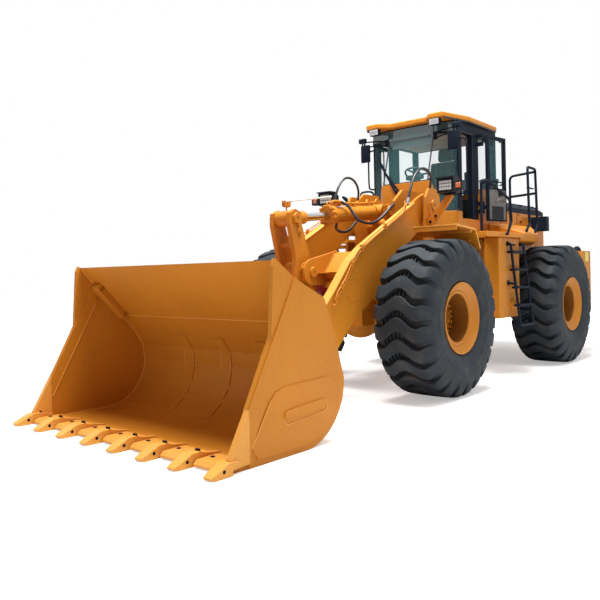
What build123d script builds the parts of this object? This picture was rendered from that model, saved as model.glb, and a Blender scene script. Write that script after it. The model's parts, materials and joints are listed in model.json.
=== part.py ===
"""Articulated wheel loader, millimetres, +X forward, +Y to the machine's left, +Z up.

The ground is Z = 0 and the middle of the machine's length is X = 0. Every piece is one node in
parts/. The boom is down with the bucket level on the ground and the left cab door folded back.
"""
import os
from math import atan2, cos, degrees, hypot, radians

from build123d import *

# ---- driving sizes ---------------------------------------------------------------------------
WHEELBASE = 3700
TRACK = 2300
FRONT_AXLE_X = 800
REAR_AXLE_X = FRONT_AXLE_X - WHEELBASE
STEER_X = (FRONT_AXLE_X + REAR_AXLE_X) / 2      # steering pivot, halfway between the axles
RUNNING_GAP = 12        # room between pieces that move past each other
PIN_GAP = 1             # room around a pin in its bore
SEAT_GAP = 0.3          # room between pieces bolted together

# ---- wheels and axles ------------------------------------------------------------------------
TYRE_DIAMETER = 1875
TYRE_WIDTH = 735
TYRE_SIDE_DEPTH = 60    # how far the bead sits in from the widest part
LUG_COUNT = 24
LUG_HALF = 78           # half a lug's thickness along the tread
LUG_WAVE = 62           # how far a lug's middle stands ahead of its bends
LUG_BEND_OUT = 225      # outward place of a lug's bends
LUG_SINK = 4.5          # how far a lug's flat top sits inside the tyre's circle
RIM_DIAMETER = 800      # at the bead seat
RIM_SHEET = 22
RIM_FLANGE = 22
DISH_DEPTH = 290
DISH_DIAMETER = 570
HUB_DIAMETER = 470
HUB_CAP_DIAMETER = 300
SPINDLE_RADIUS = 100
AXLE_Z = TYRE_DIAMETER / 2
AXLE_TUBE_RADIUS = 165
AXLE_BULB_RADIUS = 300
DRIVE_NOSE = 330        # from the axle's middle to the propeller shaft's flange

# ---- front frame -----------------------------------------------------------------------------
INNER_WALL_Y = 300      # inner face of the frame's inner walls
OUTER_WALL_Y = 620      # inner face of the tower's outer plates
PLATE = 40
NOSE_X = FRONT_AXLE_X + 430
FENDER_CLEAR = 163      # the front fender's top above the tyre
FRAME_TAIL_X = STEER_X + 480
FRAME_BELLY_Z = 800
FRAME_DECK_Z = 1440
TOWER_TOP_Z = 2600
TOWER_BACK_X = STEER_X + 870
TOWER_TAIL_X = STEER_X + 560
HITCH_HEIGHTS = (850, 1370)     # middles of the front frame's two hitch lugs
HITCH_LUG = 60
HITCH_EYE_RADIUS = 150
HITCH_PIN_RADIUS = 60
HITCH_PLATE = 55

# ---- boom, bellcrank, bucket pins ------------------------------------------------------------
BOOM_PIN = (FRONT_AXLE_X - 800, 2380)
BUCKET_PIN = (FRONT_AXLE_X + 2170, 400)
CRANK_PIN = (FRONT_AXLE_X + 1260, 1510)
CROSS_TUBE = (FRONT_AXLE_X + 950, 1300)
CRANK_TOP = (FRONT_AXLE_X + 1430, 2130)
CRANK_LOW = (FRONT_AXLE_X + 1500, 610)
LINK_PIN = (FRONT_AXLE_X + 2235, 790)
TILT_BASE = (FRONT_AXLE_X - 500, 2330)
LIFT_BASE = (FRONT_AXLE_X - 1120, 1160)
LIFT_EYE = (FRONT_AXLE_X + 600, 1270)
ARM_Y = 512             # inner face of a boom arm
ARM_WIDTH = 90
ARM_STEP = 48            # an arm's thickness inside the tower, where it has no doubling plate
ARM_STEP_RADIUS = 370
ARM_PIN_RADIUS = 55
CROSS_TUBE_RADIUS = 130
CRANK_EAR_Y = 190       # inner face of the cross tube's bellcrank ears
CRANK_PLATE_Y = 100     # inner face of a bellcrank plate
CRANK_PLATE = 60
LINK_HALF = 60
TILT_BARREL_RADIUS = 110
TILT_ROD_RADIUS = 50
LIFT_BARREL_RADIUS = 78
LIFT_ROD_RADIUS = 45
EYE_HALF = 60

# ---- bucket ----------------------------------------------------------------------------------
BUCKET_HALF = 1500
BUCKET_SIDE = 40
BUCKET_SHELL = 25
LIP_LENGTH = 300
LIP_HALF = 22
TOOTH_COUNT = 8
TOOTH_REACH = FRONT_AXLE_X + 3950
TOOTH_WIDTH = 110
CUTTER_HALF = 1530

# ---- rear frame, hood, counterweight ---------------------------------------------------------
REAR_WALL_Y = 320       # inner face of the rear frame's side plates
REAR_WALL = 40
REAR_FRAME_X = STEER_X - 330
REAR_FRAME_TOP_Z = 1480
FLOOR_PLATE = 30
TAIL_X = REAR_AXLE_X - 1850
COUNTERWEIGHT_TOP_Z = 1800
COUNTERWEIGHT_LOW_Z = 760
COUNTERWEIGHT_HALF = 1300
COUNTERWEIGHT_LENGTH = 790
TOW_PIN_RADIUS = 30
HOOD_HALF = 620
HOOD_SIDE_Z = TYRE_DIAMETER + 565
HOOD_TOP_Z = HOOD_SIDE_Z + 170
HOOD_FRONT_X = STEER_X - 890
HOOD_REAR_X = REAR_AXLE_X - 1080
HOOD_SHEET = 30
ENGINE_LENGTH = 1250
ENGINE_HEIGHT = 860
ENGINE_X = REAR_AXLE_X - 180
STEER_CYLINDER_Z = 810
CYLINDER_WALL = 16

# ---- decks, tanks, ladders, rails ------------------------------------------------------------
DECK_FRONT_X = STEER_X + 630
DECK_REAR_X = STEER_X - 480
DECK_FRONT_HALF = 1215  # the deck widens a little towards the ladder
DECK_HALF = 1265
DECK_TOP_Z = TYRE_DIAMETER + 145
DECK_DEPTH = 66
TANK_FRONT_X = STEER_X + 220
TANK_REAR_X = STEER_X - 470
TANK_INNER_Y = 900
TANK_OUTER_Y = 1200
TANK_LOW_Z = 820
SIDE_BOX_REAR_X = REAR_AXLE_X + 840     # at its outer edge; the lid runs on inwards along the hood
SIDE_BOX_INNER_X = REAR_AXLE_X - 520
SIDE_BOX_LOW_Z = DECK_TOP_Z - 105
SIDE_BOX_RISE = 215     # how far its sloped top climbs to the hood
LADDER_X = STEER_X - 250
LADDER_WIDTH = 440
LADDER_TOP = (1260, DECK_TOP_Z - 190)       # (Y, Z) of the stringers' upper ends
LADDER_FOOT = (1370, 830)
STEP_LOW_Z = 560
RAIL_RADIUS = 19

# ---- cab -------------------------------------------------------------------------------------
CAB_FRONT_X = STEER_X + 710
CAB_CORNER_X = STEER_X + 445
CAB_JAMB_X = STEER_X
CAB_JAMB = 190
CAB_REAR_X = STEER_X - 790
CAB_FRONT_HALF = 370
CAB_HALF = 720
CAB_FLOOR_Z = DECK_TOP_Z + 10
CAB_SILL_Z = CAB_FLOOR_Z + 746
CAB_RAKE = 205          # how far the windscreen's top sits behind its sill
CAB_SIDE_SILL_Z = CAB_FLOOR_Z + 670
CAB_SKIRT_Z = CAB_FLOOR_Z + 310
DOOR_LOW_Z = CAB_FLOOR_Z + 210
DOOR_HEAD_Z = CAB_FLOOR_Z + 1440
DOOR_GAP = 12
DOOR_REACH = 495        # from the hinge's pin to the leaf's free edge
DOOR_HINGE = (STEER_X - 160, 806)
HINGE_RADIUS = 14
HINGE_HEIGHTS = (DOOR_LOW_Z + 90, DOOR_HEAD_Z - 150)    # feet of the two door hinges
HINGE_LENGTH = 60
DOOR_WINDOW_Z = CAB_SIDE_SILL_Z
DOOR_RAIL = 45
CAB_HEAD_Z = CAB_FLOOR_Z + 1600
CAB_HEADER = 150
CAB_POST = 75
CORNER_POST = 100       # the front corner post's depth along X
CAB_SHEET = 40
ROOF_TOP_Z = CAB_HEAD_Z + 80
GLASS = 8
DOOR_THICKNESS = 50
DOOR_SWING = 172        # degrees from shut to folded back

SIDES = (1, -1)


# ---- helpers ---------------------------------------------------------------------------------
def block(x0, x1, y0, y1, z0, z1):
    """A box between two corners."""
    size = (abs(x1 - x0), abs(y1 - y0), abs(z1 - z0))
    return Pos((x0 + x1) / 2, (y0 + y1) / 2, (z0 + z1) / 2) * Box(*size)


def rod_y(x, z, radius, y0, y1):
    """A round bar along Y."""
    return Pos(x, (y0 + y1) / 2, z) * Rot(90, 0, 0) * Cylinder(radius, abs(y1 - y0))


def rod_x(y, z, radius, x0, x1):
    return Pos((x0 + x1) / 2, y, z) * Rot(0, 90, 0) * Cylinder(radius, abs(x1 - x0))


def rod_z(x, y, radius, z0, z1):
    return Pos(x, y, (z0 + z1) / 2) * Cylinder(radius, abs(z1 - z0))


def side_plate(points, y0, y1):
    """A plate standing along X: an outline of (X, Z) points between two Y faces."""
    face = make_face(Polyline(*[(x, min(y0, y1), z) for x, z in points], close=True))
    return extrude(face, amount=abs(y1 - y0), dir=(0, 1, 0))


def level_plate(points, z0, z1):
    """A flat plate: an outline of (X, Y) points between two heights."""
    face = make_face(Polyline(*[(x, y, min(z0, z1)) for x, y in points], close=True))
    return extrude(face, amount=abs(z1 - z0), dir=(0, 0, 1))


def cross_plate(points, x0, x1):
    """A plate standing across the machine: an outline of (Y, Z) points between two X faces."""
    face = make_face(Polyline(*[(min(x0, x1), y, z) for y, z in points], close=True))
    return extrude(face, amount=abs(x1 - x0), dir=(1, 0, 0))


def pipe(points, radius, bends):
    """A round tube along straight runs joined by tangent arcs."""
    path = FilletPolyline(*points, radius=bends)
    start = Plane(origin=path @ 0, z_dir=path % 0)
    return sweep(start * Circle(radius), path=path)


def bar(start, end, radius):
    """A straight round bar between two points."""
    line = Line(start, end)
    return sweep(Plane(origin=line @ 0, z_dir=line % 0) * Circle(radius), path=line)


def mirror_y(shape):
    return mirror(shape, about=Plane.XZ)


def both(shape):
    """The left piece and its mirror image on the right."""
    return [shape, mirror_y(shape)]


def joined(*shapes):
    result = shapes[0]
    for shape in shapes[1:]:
        result = result + shape
    return result


def span(start, end):
    return hypot(end[0] - start[0], end[1] - start[1])


def along(start, end, y, sections):
    """Round sections in line between two (X, Z) pins: (from, to, radius) measured from start."""
    turn = degrees(atan2(end[1] - start[1], end[0] - start[0]))
    shapes = []
    for near, far, radius in sections:
        piece = Pos((near + far) / 2, 0, 0) * Rot(0, 90, 0) * Cylinder(radius, far - near)
        shapes.append(Pos(start[0], y, start[1]) * Rot(0, -turn, 0) * piece)
    return joined(*shapes)


def save(name, shapes):
    solids = []
    for shape in shapes if isinstance(shapes, list) else [shapes]:
        solids.extend(shape.solids())
    export_step(solids[0] if len(solids) == 1 else Compound(children=solids), f"parts/{name}.step")


# ---- wheels ----------------------------------------------------------------------------------
RIM_HALF = TYRE_WIDTH / 2 - TYRE_SIDE_DEPTH
DISC_W = RIM_HALF - DISH_DEPTH          # the disc's outer face, outward from the wheel's middle


def turned(profile, axle_x, side):
    """A ring about an axle from (radius, outward) points."""
    face = make_face(Polyline(*[(radius, side * out, 0) for radius, out in profile], close=True))
    return Pos(axle_x, side * TRACK / 2, AXLE_Z) * revolve(face, axis=Axis.Y)


def facets(sections):
    """A solid through circles of as many sides as the tyre has lugs: (radius, outward) pairs."""
    faces = []
    for radius, out in sections:
        place = Plane(origin=(0, out, 0), x_dir=(1, 0, 0), z_dir=(0, 1, 0))
        faces.append(place * RegularPolygon(radius, LUG_COUNT))
    return loft(faces, ruled=True)


def lug(base, crown):
    """One wavy bar of the tread at the tyre's front, its ends sloping down the shoulders."""
    end = TYRE_WIDTH / 2
    middle = [(-end, -LUG_WAVE), (-LUG_BEND_OUT, -LUG_WAVE), (0, LUG_WAVE), (LUG_BEND_OUT, -LUG_WAVE),
              (end, -LUG_WAVE)]
    outline = [(out, ahead - LUG_HALF) for out, ahead in middle]
    outline += [(out, ahead + LUG_HALF) for out, ahead in reversed(middle)]
    bar = cross_plate(outline, base - 130, crown)
    top, foot = end - 78, end - 20
    slope = [(crown, -top), (crown, top), (base - 126, foot), (base - 36, top - 90), (base - 36, 90 - top),
             (base - 126, -foot)]
    return bar & level_plate(slope, -end, end)


def tyre():
    """A left tyre about the origin: the carcass with its lugs, out to the tread's tips."""
    half = TYRE_WIDTH / 2
    crown = TYRE_DIAMETER / 2 - LUG_SINK
    base = TYRE_DIAMETER / 2 - 61.5
    bore = RIM_DIAMETER / 2 / cos(radians(180 / LUG_COUNT))
    bead = RIM_HALF - 12.5
    carcass = facets([(base - 112, -half + 15.5), (base, -half + 122.5), (base, half - 122.5),
                      (base - 112, half - 15.5), (base - 316, half - 5.5)])
    carcass = carcass - facets([(bore, -half), (bore, half)])
    carcass = carcass - facets([(bore, bead), (base - 313, half - 4.5)])
    carcass = carcass - facets([(base - 105, 13.5 - half), (bore, -bead)])
    bar = lug(base, crown)
    return carcass.fuse(*[Rot(0, -360 / LUG_COUNT * i, 0) * bar for i in range(LUG_COUNT)])


def rim(axle_x, side):
    """The dished rim with its flanges, the disc and the hub that turns on the axle's spindle."""
    seat = RIM_DIAMETER / 2 - SEAT_GAP
    edge = RIM_DIAMETER / 2 + RIM_FLANGE
    well = seat - RIM_SHEET
    face_w = RIM_HALF + SEAT_GAP
    dish = DISH_DIAMETER / 2
    hub = HUB_DIAMETER / 2
    cap = HUB_CAP_DIAMETER / 2
    bore = SPINDLE_RADIUS + PIN_GAP
    hub_tail = 40 - RIM_HALF
    profile = [(well, -face_w - RIM_SHEET), (edge, -face_w - RIM_SHEET), (edge, -face_w),
               (seat, -face_w), (seat, face_w), (edge, face_w), (edge, face_w + RIM_SHEET),
               (well + 7, face_w + RIM_SHEET), (well - 6, RIM_HALF - 25), (dish + 60, RIM_HALF - 60),
               (dish, RIM_HALF - 75), (dish, DISC_W), (cap, DISC_W), (cap, DISC_W + 60),
               (0, DISC_W + 60), (0, DISC_W - 60), (bore, DISC_W - 60), (bore, hub_tail),
               (hub, hub_tail), (hub, DISC_W - RIM_SHEET), (dish + RIM_SHEET, DISC_W - RIM_SHEET),
               (dish + RIM_SHEET, RIM_HALF - 97), (dish + 60, RIM_HALF - 85), (well, RIM_HALF - 50)]
    return turned(profile, axle_x, side)


os.makedirs("parts", exist_ok=True)
TYRE = tyre()
for corner, axle_x, side in (("front_left", FRONT_AXLE_X, 1), ("front_right", FRONT_AXLE_X, -1),
                             ("rear_left", REAR_AXLE_X, 1), ("rear_right", REAR_AXLE_X, -1)):
    placed = Pos(axle_x, TRACK / 2, AXLE_Z) * TYRE
    save(f"tyre_{corner}", placed if side > 0 else mirror_y(placed))
    save(f"rim_{corner}", rim(axle_x, side))


def axle(axle_x, nose):
    """The live axle: housing, bulb, drive nose, brake flanges and the hubs' spindles."""
    flange_y = TRACK / 2 - RIM_HALF + 40 - RUNNING_GAP
    tip_y = TRACK / 2 + DISC_W - 70
    tube = rod_y(axle_x, AXLE_Z, AXLE_TUBE_RADIUS, -flange_y, flange_y)
    spindle = rod_y(axle_x, AXLE_Z, SPINDLE_RADIUS, -tip_y, tip_y)
    bulb = Pos(axle_x, 0, AXLE_Z) * Sphere(AXLE_BULB_RADIUS)
    snout = rod_x(0, AXLE_Z, 110, axle_x, axle_x + nose * DRIVE_NOSE)
    yoke = rod_x(0, AXLE_Z, 140, axle_x + nose * (DRIVE_NOSE - 30), axle_x + nose * DRIVE_NOSE)
    brakes = [rod_y(axle_x, AXLE_Z, HUB_DIAMETER / 2, side * (flange_y - 60), side * flange_y)
              for side in SIDES]
    return joined(tube, spindle, bulb, snout, yoke, *brakes)


save("front_axle", axle(FRONT_AXLE_X, -1))
save("rear_axle", axle(REAR_AXLE_X, 1))

# ---- front frame -----------------------------------------------------------------------------
INNER_OUT_Y = INNER_WALL_Y + PLATE
OUTER_OUT_Y = OUTER_WALL_Y + PLATE
SADDLE_Z = AXLE_Z + AXLE_TUBE_RADIUS + SEAT_GAP
LIFT_Y = (INNER_OUT_Y + ARM_Y) / 2


def hitch_lug(z):
    """The front frame's tongue around a steering pin."""
    plan = [(FRAME_TAIL_X, -INNER_WALL_Y), (FRAME_TAIL_X, INNER_WALL_Y),
            (STEER_X, HITCH_EYE_RADIUS), (STEER_X, -HITCH_EYE_RADIUS)]
    low, high = z - HITCH_LUG / 2, z + HITCH_LUG / 2
    eye = rod_z(STEER_X, 0, HITCH_EYE_RADIUS, low, high)
    bore = rod_z(STEER_X, 0, HITCH_PIN_RADIUS + PIN_GAP, low - 1, high + 1)
    return level_plate(plan, low, high) + eye - bore


def front_frame():
    ax = FRONT_AXLE_X
    inner = [(NOSE_X, FRAME_BELLY_Z + 30), (NOSE_X, FRAME_DECK_Z - 190), (ax + 250, FRAME_DECK_Z),
             (ax - 420, FRAME_DECK_Z + 60), (ax - 360, 2180), (ax - 360, 2440),
             (ax - 560, TOWER_TOP_Z), (TOWER_BACK_X + 60, TOWER_TOP_Z), (TOWER_BACK_X, 2500),
             (TOWER_BACK_X, 1700), (TOWER_TAIL_X, FRAME_DECK_Z), (FRAME_TAIL_X, FRAME_DECK_Z),
             (FRAME_TAIL_X, FRAME_BELLY_Z), (ax - AXLE_TUBE_RADIUS - 10, FRAME_BELLY_Z),
             (ax - AXLE_TUBE_RADIUS - 10, SADDLE_Z), (ax + AXLE_TUBE_RADIUS + 10, SADDLE_Z),
             (ax + AXLE_TUBE_RADIUS + 10, FRAME_BELLY_Z + 30)]
    outer = [(ax - 620, 2480), (ax - 700, TOWER_TOP_Z), (TOWER_BACK_X + 80, TOWER_TOP_Z),
             (TOWER_BACK_X, 2500), (TOWER_BACK_X, 1700), (TOWER_TAIL_X, FRAME_DECK_Z),
             (TOWER_TAIL_X, FRAME_BELLY_Z + 50), (ax - 640, FRAME_BELLY_Z + 50), (ax - 560, 1500)]
    pieces = []
    deck_notch = (STEER_X + 975, ax, DECK_TOP_Z - DECK_DEPTH - RUNNING_GAP, DECK_TOP_Z + RUNNING_GAP)
    for side in SIDES:
        pieces.append(side_plate(inner, side * INNER_WALL_Y, side * INNER_OUT_Y))
        cheek = side_plate(outer, side * OUTER_WALL_Y, side * OUTER_OUT_Y)
        pieces.append(cheek - block(*deck_notch[:2], side * OUTER_WALL_Y, side * OUTER_OUT_Y,
                                    *deck_notch[2:]))
        gap = (side * INNER_WALL_Y, side * OUTER_WALL_Y)
        pieces.append(block(TOWER_TAIL_X, TOWER_TAIL_X + PLATE, *gap, FRAME_BELLY_Z + 50, FRAME_DECK_Z))
        pieces.append(block(TOWER_BACK_X, TOWER_BACK_X + PLATE, *gap, 1700, 2150))
        pieces.append(block(TOWER_TAIL_X, ax - 640, *gap, FRAME_BELLY_Z + 50, FRAME_BELLY_Z + 90))
        pins = (side * INNER_WALL_Y, side * OUTER_OUT_Y)
        pieces.append(rod_y(*BOOM_PIN, ARM_PIN_RADIUS, *pins))
        pieces.append(rod_y(*LIFT_BASE, LIFT_ROD_RADIUS, *pins))
        ear = [(ax - 820, 2050), (ax - 620, 2030), (ax - 430, 2240), (ax - 420, 2400),
               (ax - 560, 2430), (ax - 800, 2250)]
        pieces.append(side_plate(ear, side * (EYE_HALF + 40), side * (EYE_HALF + 80)))
        lug_y = (side * 470, side * 590)
        for low, high in ((735, 765), (855, 885)):
            pieces.append(block(STEER_X + 380, TOWER_TAIL_X + PLATE, *lug_y, low, high))
        pieces.append(block(TOWER_TAIL_X, TOWER_TAIL_X + PLATE, *lug_y, 735, 885))
    across = (-INNER_WALL_Y, INNER_WALL_Y)
    pieces.append(block(FRAME_TAIL_X, ax + 250, *across, FRAME_DECK_Z - PLATE, FRAME_DECK_Z))
    pieces.append(block(FRAME_TAIL_X, ax - 420, *across, FRAME_BELLY_Z, FRAME_BELLY_Z + PLATE))
    pieces.append(block(FRAME_TAIL_X, FRAME_TAIL_X + PLATE, *across, FRAME_BELLY_Z, FRAME_DECK_Z))
    pieces.append(block(NOSE_X - PLATE, NOSE_X, *across, FRAME_BELLY_Z + 30, FRAME_DECK_Z - 190))
    pieces.append(block(TOWER_BACK_X, TOWER_BACK_X + PLATE, *across, FRAME_DECK_Z, 2480))
    pieces.append(rod_y(ax - 720, 2140, 100, *across))
    pieces.append(rod_y(*TILT_BASE, TILT_ROD_RADIUS, -EYE_HALF - 80, EYE_HALF + 80))
    return joined(*pieces, *[hitch_lug(z) for z in HITCH_HEIGHTS])


save("front_frame", front_frame())


def front_fender():
    """A folded plate over the front tyre, on a bracket from the tower."""
    ax = FRONT_AXLE_X
    high = TYRE_DIAMETER + FENDER_CLEAR
    top = [(ax - 26, high), (ax - 517, high - 37), (ax - 640, high - 271)]
    under = [(x + (12 if z < high - 200 else 0), z - 14) for x, z in reversed(top)]
    sheet = side_plate(top + under, 805, 1405)
    lip = block(ax - 38, ax - 26, 805, 1405, high - 60, high)
    return sheet + lip + block(ax - 650, ax - 560, OUTER_OUT_Y + SEAT_GAP, 1300, high - 190, high - 140)


save("front_fenders", both(front_fender()))


def headlamp():
    """A hooded lamp box with a small side lamp, on a slanted strut from the tower's outer plate."""
    ax = FRONT_AXLE_X
    y0 = OUTER_OUT_Y + SEAT_GAP
    strut = [(y0, 2080), (y0 + 60, 2080), (1020, 2450), (1020, 2500), (960, 2500), (y0, 2180)]
    plate = cross_plate(strut, ax - 700, ax - 650)
    case = side_plate([(ax - 530, 2500), (ax - 530, 2685), (ax - 650, 2685), (ax - 720, 2640),
                       (ax - 720, 2535), (ax - 670, 2490)],
                      872, 1112)
    case = case - block(ax - 545, ax - 529, 888, 1096, 2516, 2669)
    hood = block(ax - 640, ax - 495, 866, 1118, 2684, 2698)
    side_lamp = block(ax - 620, ax - 525, 1111, 1235, 2515, 2635)
    return joined(plate, case, hood, side_lamp)


save("headlamps", both(headlamp()))

# ---- boom ------------------------------------------------------------------------------------
def arm_solid():
    """One curved arm from the tower's pin to the bucket's pin."""
    ax = FRONT_AXLE_X
    outline = [(ax - 800, 2550), (ax - 640, 2500), (ax + 760, 1790), (ax + 1010, 1620),
               (ax + 1300, 1300), (ax + 2060, 560), (ax + 2290, 420), (ax + 2200, 270),
               (ax + 2050, 270), (ax + 1250, 660), (ax + 950, 950), (ax + 560, 1180),
               (ax + 240, 1560), (ax - 560, 2060), (ax - 800, 2210)]
    plate = side_plate(outline, ARM_Y, ARM_Y + ARM_WIDTH)
    boss = rod_y(*BOOM_PIN, 170, ARM_Y, ARM_Y + ARM_WIDTH)
    tip = rod_y(*BUCKET_PIN, 150, ARM_Y, ARM_Y + ARM_WIDTH)
    step = rod_y(*BOOM_PIN, ARM_STEP_RADIUS, ARM_Y + ARM_STEP, ARM_Y + ARM_WIDTH + 1)
    return joined(plate, boss, tip) - step - rod_y(*BOOM_PIN, ARM_PIN_RADIUS + PIN_GAP, 400, 700)


def boom():
    ax = FRONT_AXLE_X
    arm = arm_solid()
    ear = [(ax + 860, 1200), (ax + 1060, 1180), (ax + 1370, 1430), (ax + 1380, 1560),
           (ax + 1290, 1640), (ax + 1180, 1620), (ax + 880, 1400)]
    pieces = [arm, mirror_y(arm)]
    pieces.append(rod_y(*CROSS_TUBE, CROSS_TUBE_RADIUS, -ARM_Y - 20, ARM_Y + 20))
    for side in SIDES:
        pieces.append(side_plate(ear, side * CRANK_EAR_Y, side * (CRANK_EAR_Y + 45)))
        pieces.append(rod_y(*BUCKET_PIN, ARM_PIN_RADIUS, side * (ARM_Y - 85), side * (ARM_Y + 175)))
    pieces.append(rod_y(*CRANK_PIN, ARM_PIN_RADIUS, -CRANK_EAR_Y - 60, CRANK_EAR_Y + 60))
    return joined(*pieces)


save("boom", boom())

# ---- bellcrank and link ----------------------------------------------------------------------
def bellcrank():
    """Two bent plates on one hub, with a pin through their lower eyes."""
    ax = FRONT_AXLE_X
    outline = [(ax + 1330, 2200), (ax + 1430, 2235), (ax + 1520, 2190), (ax + 1530, 2060),
               (ax + 1440, 1700), (ax + 1460, 1300), (ax + 1600, 700), (ax + 1590, 560),
               (ax + 1500, 510), (ax + 1400, 560), (ax + 1180, 1250), (ax + 1150, 1550),
               (ax + 1230, 1800), (ax + 1320, 2050)]
    pieces = []
    for side in SIDES:
        y = (side * CRANK_PLATE_Y, side * (CRANK_PLATE_Y + CRANK_PLATE))
        pieces.append(side_plate(outline, *y))
        pieces.append(rod_y(*CRANK_TOP, 55, side * CRANK_PLATE_Y, side * (CRANK_PLATE_Y + CRANK_PLATE + 15)))
    pieces.append(rod_y(*CRANK_PIN, 120, -CRANK_EAR_Y + 10, CRANK_EAR_Y - 10))
    pieces.append(rod_y(ax + 1500, 1250, 45, -CRANK_PLATE_Y, CRANK_PLATE_Y))
    bore = rod_y(*CRANK_PIN, ARM_PIN_RADIUS + PIN_GAP, -300, 300)
    return joined(*pieces) - bore


save("bellcrank", bellcrank())


def link():
    """The tie between the bellcrank's lower eye and the bucket's upper ears."""
    length = span(LINK_PIN, CRANK_LOW)
    shape = along(LINK_PIN, CRANK_LOW, 0, [(0, length, 50)])
    eyes = [rod_y(*pin, 95, -LINK_HALF, LINK_HALF) for pin in (LINK_PIN, CRANK_LOW)]
    return joined(shape, *eyes) - rod_y(*LINK_PIN, ARM_PIN_RADIUS + PIN_GAP, -200, 200)


save("link", link())

# ---- cylinders -------------------------------------------------------------------------------
def barrel(start, end, y, near, length, radius, wall, eye_radius, eye_half, pin_radius):
    """A cylinder's tube with its neck, gland flange and rear eye."""
    neck = eye_half * 0.85
    tube = along(start, end, y, [(0, near, neck), (near, length - 60, radius),
                                 (length - 60, length, radius * 1.12)])
    eye = rod_y(*start, eye_radius, y - eye_half, y + eye_half)
    hollow = along(start, end, y, [(near + 20, length + 1, radius - wall)])
    return tube + eye - hollow - rod_y(*start, pin_radius + PIN_GAP, y - 300, y + 300)


def piston_rod(start, end, y, near, radius, head, eye_radius, eye_half):
    """The rod with its piston inside the tube and its eye at the far end."""
    length = span(start, end)
    shaft = along(start, end, y, [(near, length, radius), (near, near + 60, head)])
    return shaft + rod_y(*end, eye_radius, y - eye_half, y + eye_half)


for name, start, end, y, near, length, radius, rod, rod_near, eye_half in (
        ("tilt", TILT_BASE, CRANK_TOP, 0, 170, 1170, TILT_BARREL_RADIUS, TILT_ROD_RADIUS, 560, 85),
        ("lift", LIFT_BASE, LIFT_EYE, LIFT_Y, 140, 1440, LIFT_BARREL_RADIUS, LIFT_ROD_RADIUS, 180, 60)):
    tube = barrel(start, end, y, near, length, radius / 1.12, CYLINDER_WALL, 95, eye_half, rod)
    shaft = piston_rod(start, end, y, rod_near, rod, radius / 1.12 - CYLINDER_WALL - PIN_GAP, 88,
                       eye_half - 8)
    save(f"{name}_barrel", both(tube) if y else tube)
    save(f"{name}_rod", both(shaft) if y else shaft)
for side, name in ((1, "left"), (-1, "right")):
    steer_start = (STEER_X - 850, side * 500, STEER_CYLINDER_Z)
    steer_end = (STEER_X + 420, side * 520, STEER_CYLINDER_Z)
    line = Line(steer_start, steer_end)
    heading = line % 0

    def round_part(near, far, radius):
        origin = Vector(*steer_start) + heading * near
        return extrude(Plane(origin=origin, z_dir=heading) * Circle(radius), amount=far - near)

    tube = round_part(75, 780, 52) - round_part(100, 781, 40) + round_part(0, 80, 32)
    tube = tube + rod_z(*steer_start[:2], 70, STEER_CYLINDER_Z - 35, STEER_CYLINDER_Z + 35)
    tube = tube - rod_z(*steer_start[:2], 30 + PIN_GAP, STEER_CYLINDER_Z - 99, STEER_CYLINDER_Z + 99)
    shaft = round_part(440, line.length, 27) + round_part(440, 480, 39)
    shaft = shaft + rod_z(*steer_end[:2], 58, STEER_CYLINDER_Z - 35, STEER_CYLINDER_Z + 35)
    save(f"steer_barrel_{name}", tube)
    save(f"steer_rod_{name}", shaft)

# ---- bucket ----------------------------------------------------------------------------------
BEND_RADIUS = 545
BEND = (FRONT_AXLE_X + 2880, BEND_RADIUS)       # centre of the floor's bend
LIP_X = FRONT_AXLE_X + 3740
GUARD_X = LIP_X - 190            # where the corner guards begin


def bucket_outline(front):
    """The back of the bucket from lip to rim, closed by a front edge of (X, Z) points."""
    ax = FRONT_AXLE_X
    turn = BEND_RADIUS * cos(radians(45))
    back = [(ax + 2428, 855), (ax + 2548, 1175), (ax + 2600, 1280), (ax + 2991, 1464), (ax + 3209, 1617)]
    points = [(x, 0, z) for x, z in [(BEND[0] - BEND_RADIUS, BEND[1])] + back + front + [(BEND[0], 0)]]
    bend = ThreePointArc((BEND[0], 0, 0), (BEND[0] - turn, 0, BEND[1] - turn),
                         (BEND[0] - BEND_RADIUS, 0, BEND[1]))
    return make_face([bend, Polyline(*points)])


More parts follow.
